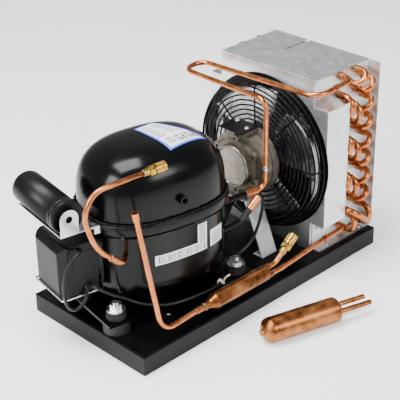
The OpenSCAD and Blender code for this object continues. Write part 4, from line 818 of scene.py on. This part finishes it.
# Solder fillets where copper is brazed, each with slow and fast sags round it
solder = {"bead": 0.75, "steps": 40, "sides": 8, "slow": 3, "slowSag": 0.12, "fast": 7, "fastSag": 0.08,
          "swell": 1.2}
joints = {"discharge": ((24, -43.8, 126), (58, -5.4, -2)), "suction": ((20, -53, 116.5), (24, 0, 16)),
          "process": (processRoute[1], processRoute[2] - processRoute[1]),
          "processValve": (processRoute[-1], processRoute[-1] - processRoute[-2]),
          "accessValve": ((37, -88, 58), (17, 0, 12.5)), "drierNeck": ((-105.9, -90.5, 41.8), (1, 0, 0)),
          "outletCoupling": ((-118.8, -90.5, 41.8), (1, 0, 0)), "accessPort": ((9, -88, 45.5), (1, 0, 0)),
          "liquidPort": ((9, -93, 38.1), (1, 0, 0))}  # (place, the tube's direction)
# Where each fillet runs: its joint, how far along the tube from there, and the radius that it runs round
brazed = [("discharge", -9, 4.1), ("discharge", 9, 3.3), ("suction", -10.8, 4.1), ("process", 21.6, 3.3),
          ("processValve", -6.1, 3.3), ("accessValve", -6.1, 3.3), ("drierNeck", 0, 4.6),
          ("outletCoupling", 0, 3.3), ("accessPort", 0, 3.4), ("liquidPort", 0, 3.4)]


def addFillet(name, place, run, radius, bead):
    s = solder
    side = run.orthogonal().normalized()
    other = run.cross(side)
    path, radii = [], []
    for k in range(s["steps"]):
        a = 2 * math.pi * k / s["steps"]
        sag = s["slowSag"] * math.sin(s["slow"] * a + radius) + s["fastSag"] * math.sin(s["fast"] * a)
        path.append(place + (side * math.cos(a) + other * math.sin(a)) * radius + run * sag)
        radii.append(bead * (1 + s["swell"] * sag))
    addTube(name, path, radii, s["sides"], silverSolder, closed=True)


def makeFillets():
    for i, (joint, along, radius) in enumerate(brazed):
        place, direction = joints[joint]
        run = Vector(direction).normalized()
        addFillet("solderFillet%d" % (i + 1), Vector(place) + run * along, run, radius, solder["bead"])


makeFillets()

# Thin rings of solder at the mouths of the coil's tubes, where the return bends are brazed in
coil = {"x": 146.5, "rowPitch": 15.5, "rows": 4, "top": 251.5, "pitch": 25.4, "tubes": 9, "mouth": -77.7,
        "radius": 4.65, "bead": 0.42}


def makeBellRings():
    c = coil
    for row in range(c["rows"]):
        for k in range(c["tubes"]):
            z = c["top"] - k * c["pitch"] - (row % 2) * c["pitch"] / 2
            place = Vector((c["x"] + row * c["rowPitch"], c["mouth"], z))
            addFillet("bellRing%d.%d" % (row, k), place, Vector((0, 1, 0)), c["radius"], c["bead"])


makeBellRings()

# Bright sleeve crimped on the discharge riser
sleeve = {"place": (47.2, -45.96, 147.2), "inside": 3.2, "outside": 3.6, "length": 6, "edge": 0.3,
          "steps": 48}


def makeSleeve():
    inside, outside, edge, length = (sleeve[k] for k in ("inside", "outside", "edge", "length"))
    profile = [(inside, 0), (outside - edge, 0), (outside, edge), (outside, length - edge),
               (outside - edge, length), (inside, length)]
    addTurned("riserSleeve", sleeve["place"], upward, profile, brightZincPlate, steps=sleeve["steps"])


makeSleeve()
print("solder run")

# Pan head screws with a cross recess: (place under the head, direction, head radius)
coilScrews = [((x, y, z), (0, out, 0), 3.5)
              for x, z in ((112, 55), (122.2, 50)) for y, out in ((-77.1, -1), (81.2, 1))]
plateScrews = [((x, y, 189.95), upward, 3.6) for x, y in ((64, 17.25), (53.8, -8.25))]
footScrews = [((56, y, 27.05), upward, 4) for y in (-39, 41)]
flangeScrews = [((x, y, 26.55), upward, 3.6) for x in (124, 190) for y in (-83, 87)]
# Shape of the head in shares of its radius, and of its height for how deep the cross is cut
panHead = {"rings": 12, "steps": 48, "tall": 0.62, "power": 3.2, "arm": 0.16, "reach": 0.62, "deep": 0.35}


def addScrews(name, places, replaced=None):
    h = panHead
    steps = h["steps"]
    points, faces = [], []
    for place, normal, radius in places:
        normal = Vector(normal)
        side = normal.orthogonal().normalized()
        other = normal.cross(side)
        base = len(points)
        tall = radius * h["tall"]
        arm = radius * h["arm"]
        for j in range(h["rings"] + 1):
            q = j / h["rings"]
            for i in range(steps):
                a = 2 * math.pi * i / steps
                x, y = radius * q * math.cos(a), radius * q * math.sin(a)
                rise = tall * (1 - q ** h["power"]) ** 0.5
                if q < h["reach"] and (abs(x) < arm or abs(y) < arm):
                    rise -= tall * h["deep"] * (1 - q)
                points.append(Vector(place) + side * x + other * y + normal * rise)
        for j in range(h["rings"]):
            row, outer = base + j * steps, base + (j + 1) * steps
            faces += [(row + i, outer + i, outer + (i + 1) % steps, row + (i + 1) % steps)
                      for i in range(steps)]
        faces.append(tuple(reversed([base + h["rings"] * steps + i for i in range(steps)])))
    piece = addPiece(name, points, faces, brightZincPlate)
    if replaced:
        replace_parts(piece, replaced)


addScrews("coilScrews", coilScrews, "zinc_screws")
addScrews("plateScrews", plateScrews)
addScrews("footScrews", footScrews)
addScrews("flangeScrews", flangeScrews)
print("screws set")

# Studio, in metres and watts: pale floor, soft lights and an even grey surround
studio = {"floor": 4.0, "floorTones": ("#f6f6f5", "#f2f2f1"), "floorGlow": 0.55, "world": "#f3f5f8",
          "worldStrength": 0.5, "aim": (0, 0, 0.1),
          "softboxes": {"topSoftbox": {"place": (-0.4, 0.2, 1.9), "size": 1.1, "watts": 72},
                        "leftSoftbox": {"place": (-1.7, 0.2, 1.1), "size": 0.8, "watts": 42},
                        "frontSoftbox": {"place": (0.2, -1.9, 1.3), "size": 0.8, "watts": 30}}}


def makeFloor():
    half, (bright, dull) = studio["floor"], studio["floorTones"]
    corners = [(-half, -half, 0), (half, -half, 0), (half, half, 0), (-half, half, 0)]
    data = bpy.data.meshes.new("paleFloor")
    data.from_pydata(corners, [], [(0, 1, 2, 3)])
    paper = printedPaper("paleFloor", [(0.3, bright), (0.7, dull)])
    shader = paper.node_tree.nodes["Principled BSDF"]
    shader.inputs["Emission Color"].default_value = toLinear(bright)
    shader.inputs["Emission Strength"].default_value = studio["floorGlow"]
    data.materials.append(paper)
    floor = addObject("paleFloor", data)


def makeLights():
    world = bpy.data.worlds.new("studioWorld")
    bpy.context.scene.world = world
    world.use_nodes = True
    background = world.node_tree.nodes["Background"]
    background.inputs["Color"].default_value = toLinear(studio["world"])
    background.inputs["Strength"].default_value = studio["worldStrength"]
    for name, box in studio["softboxes"].items():
        lamp = bpy.data.lights.new(name, "AREA")
        lamp.shape = "SQUARE"
        lamp.size = box["size"]
        lamp.energy = box["watts"]
        obj = addObject(name, lamp)
        obj.location = box["place"]
        aim = Vector(studio["aim"]) - Vector(box["place"])
        obj.rotation_euler = aim.to_track_quat("-Z", "Y").to_euler()


makeFloor()
makeLights()
print("studio lit")
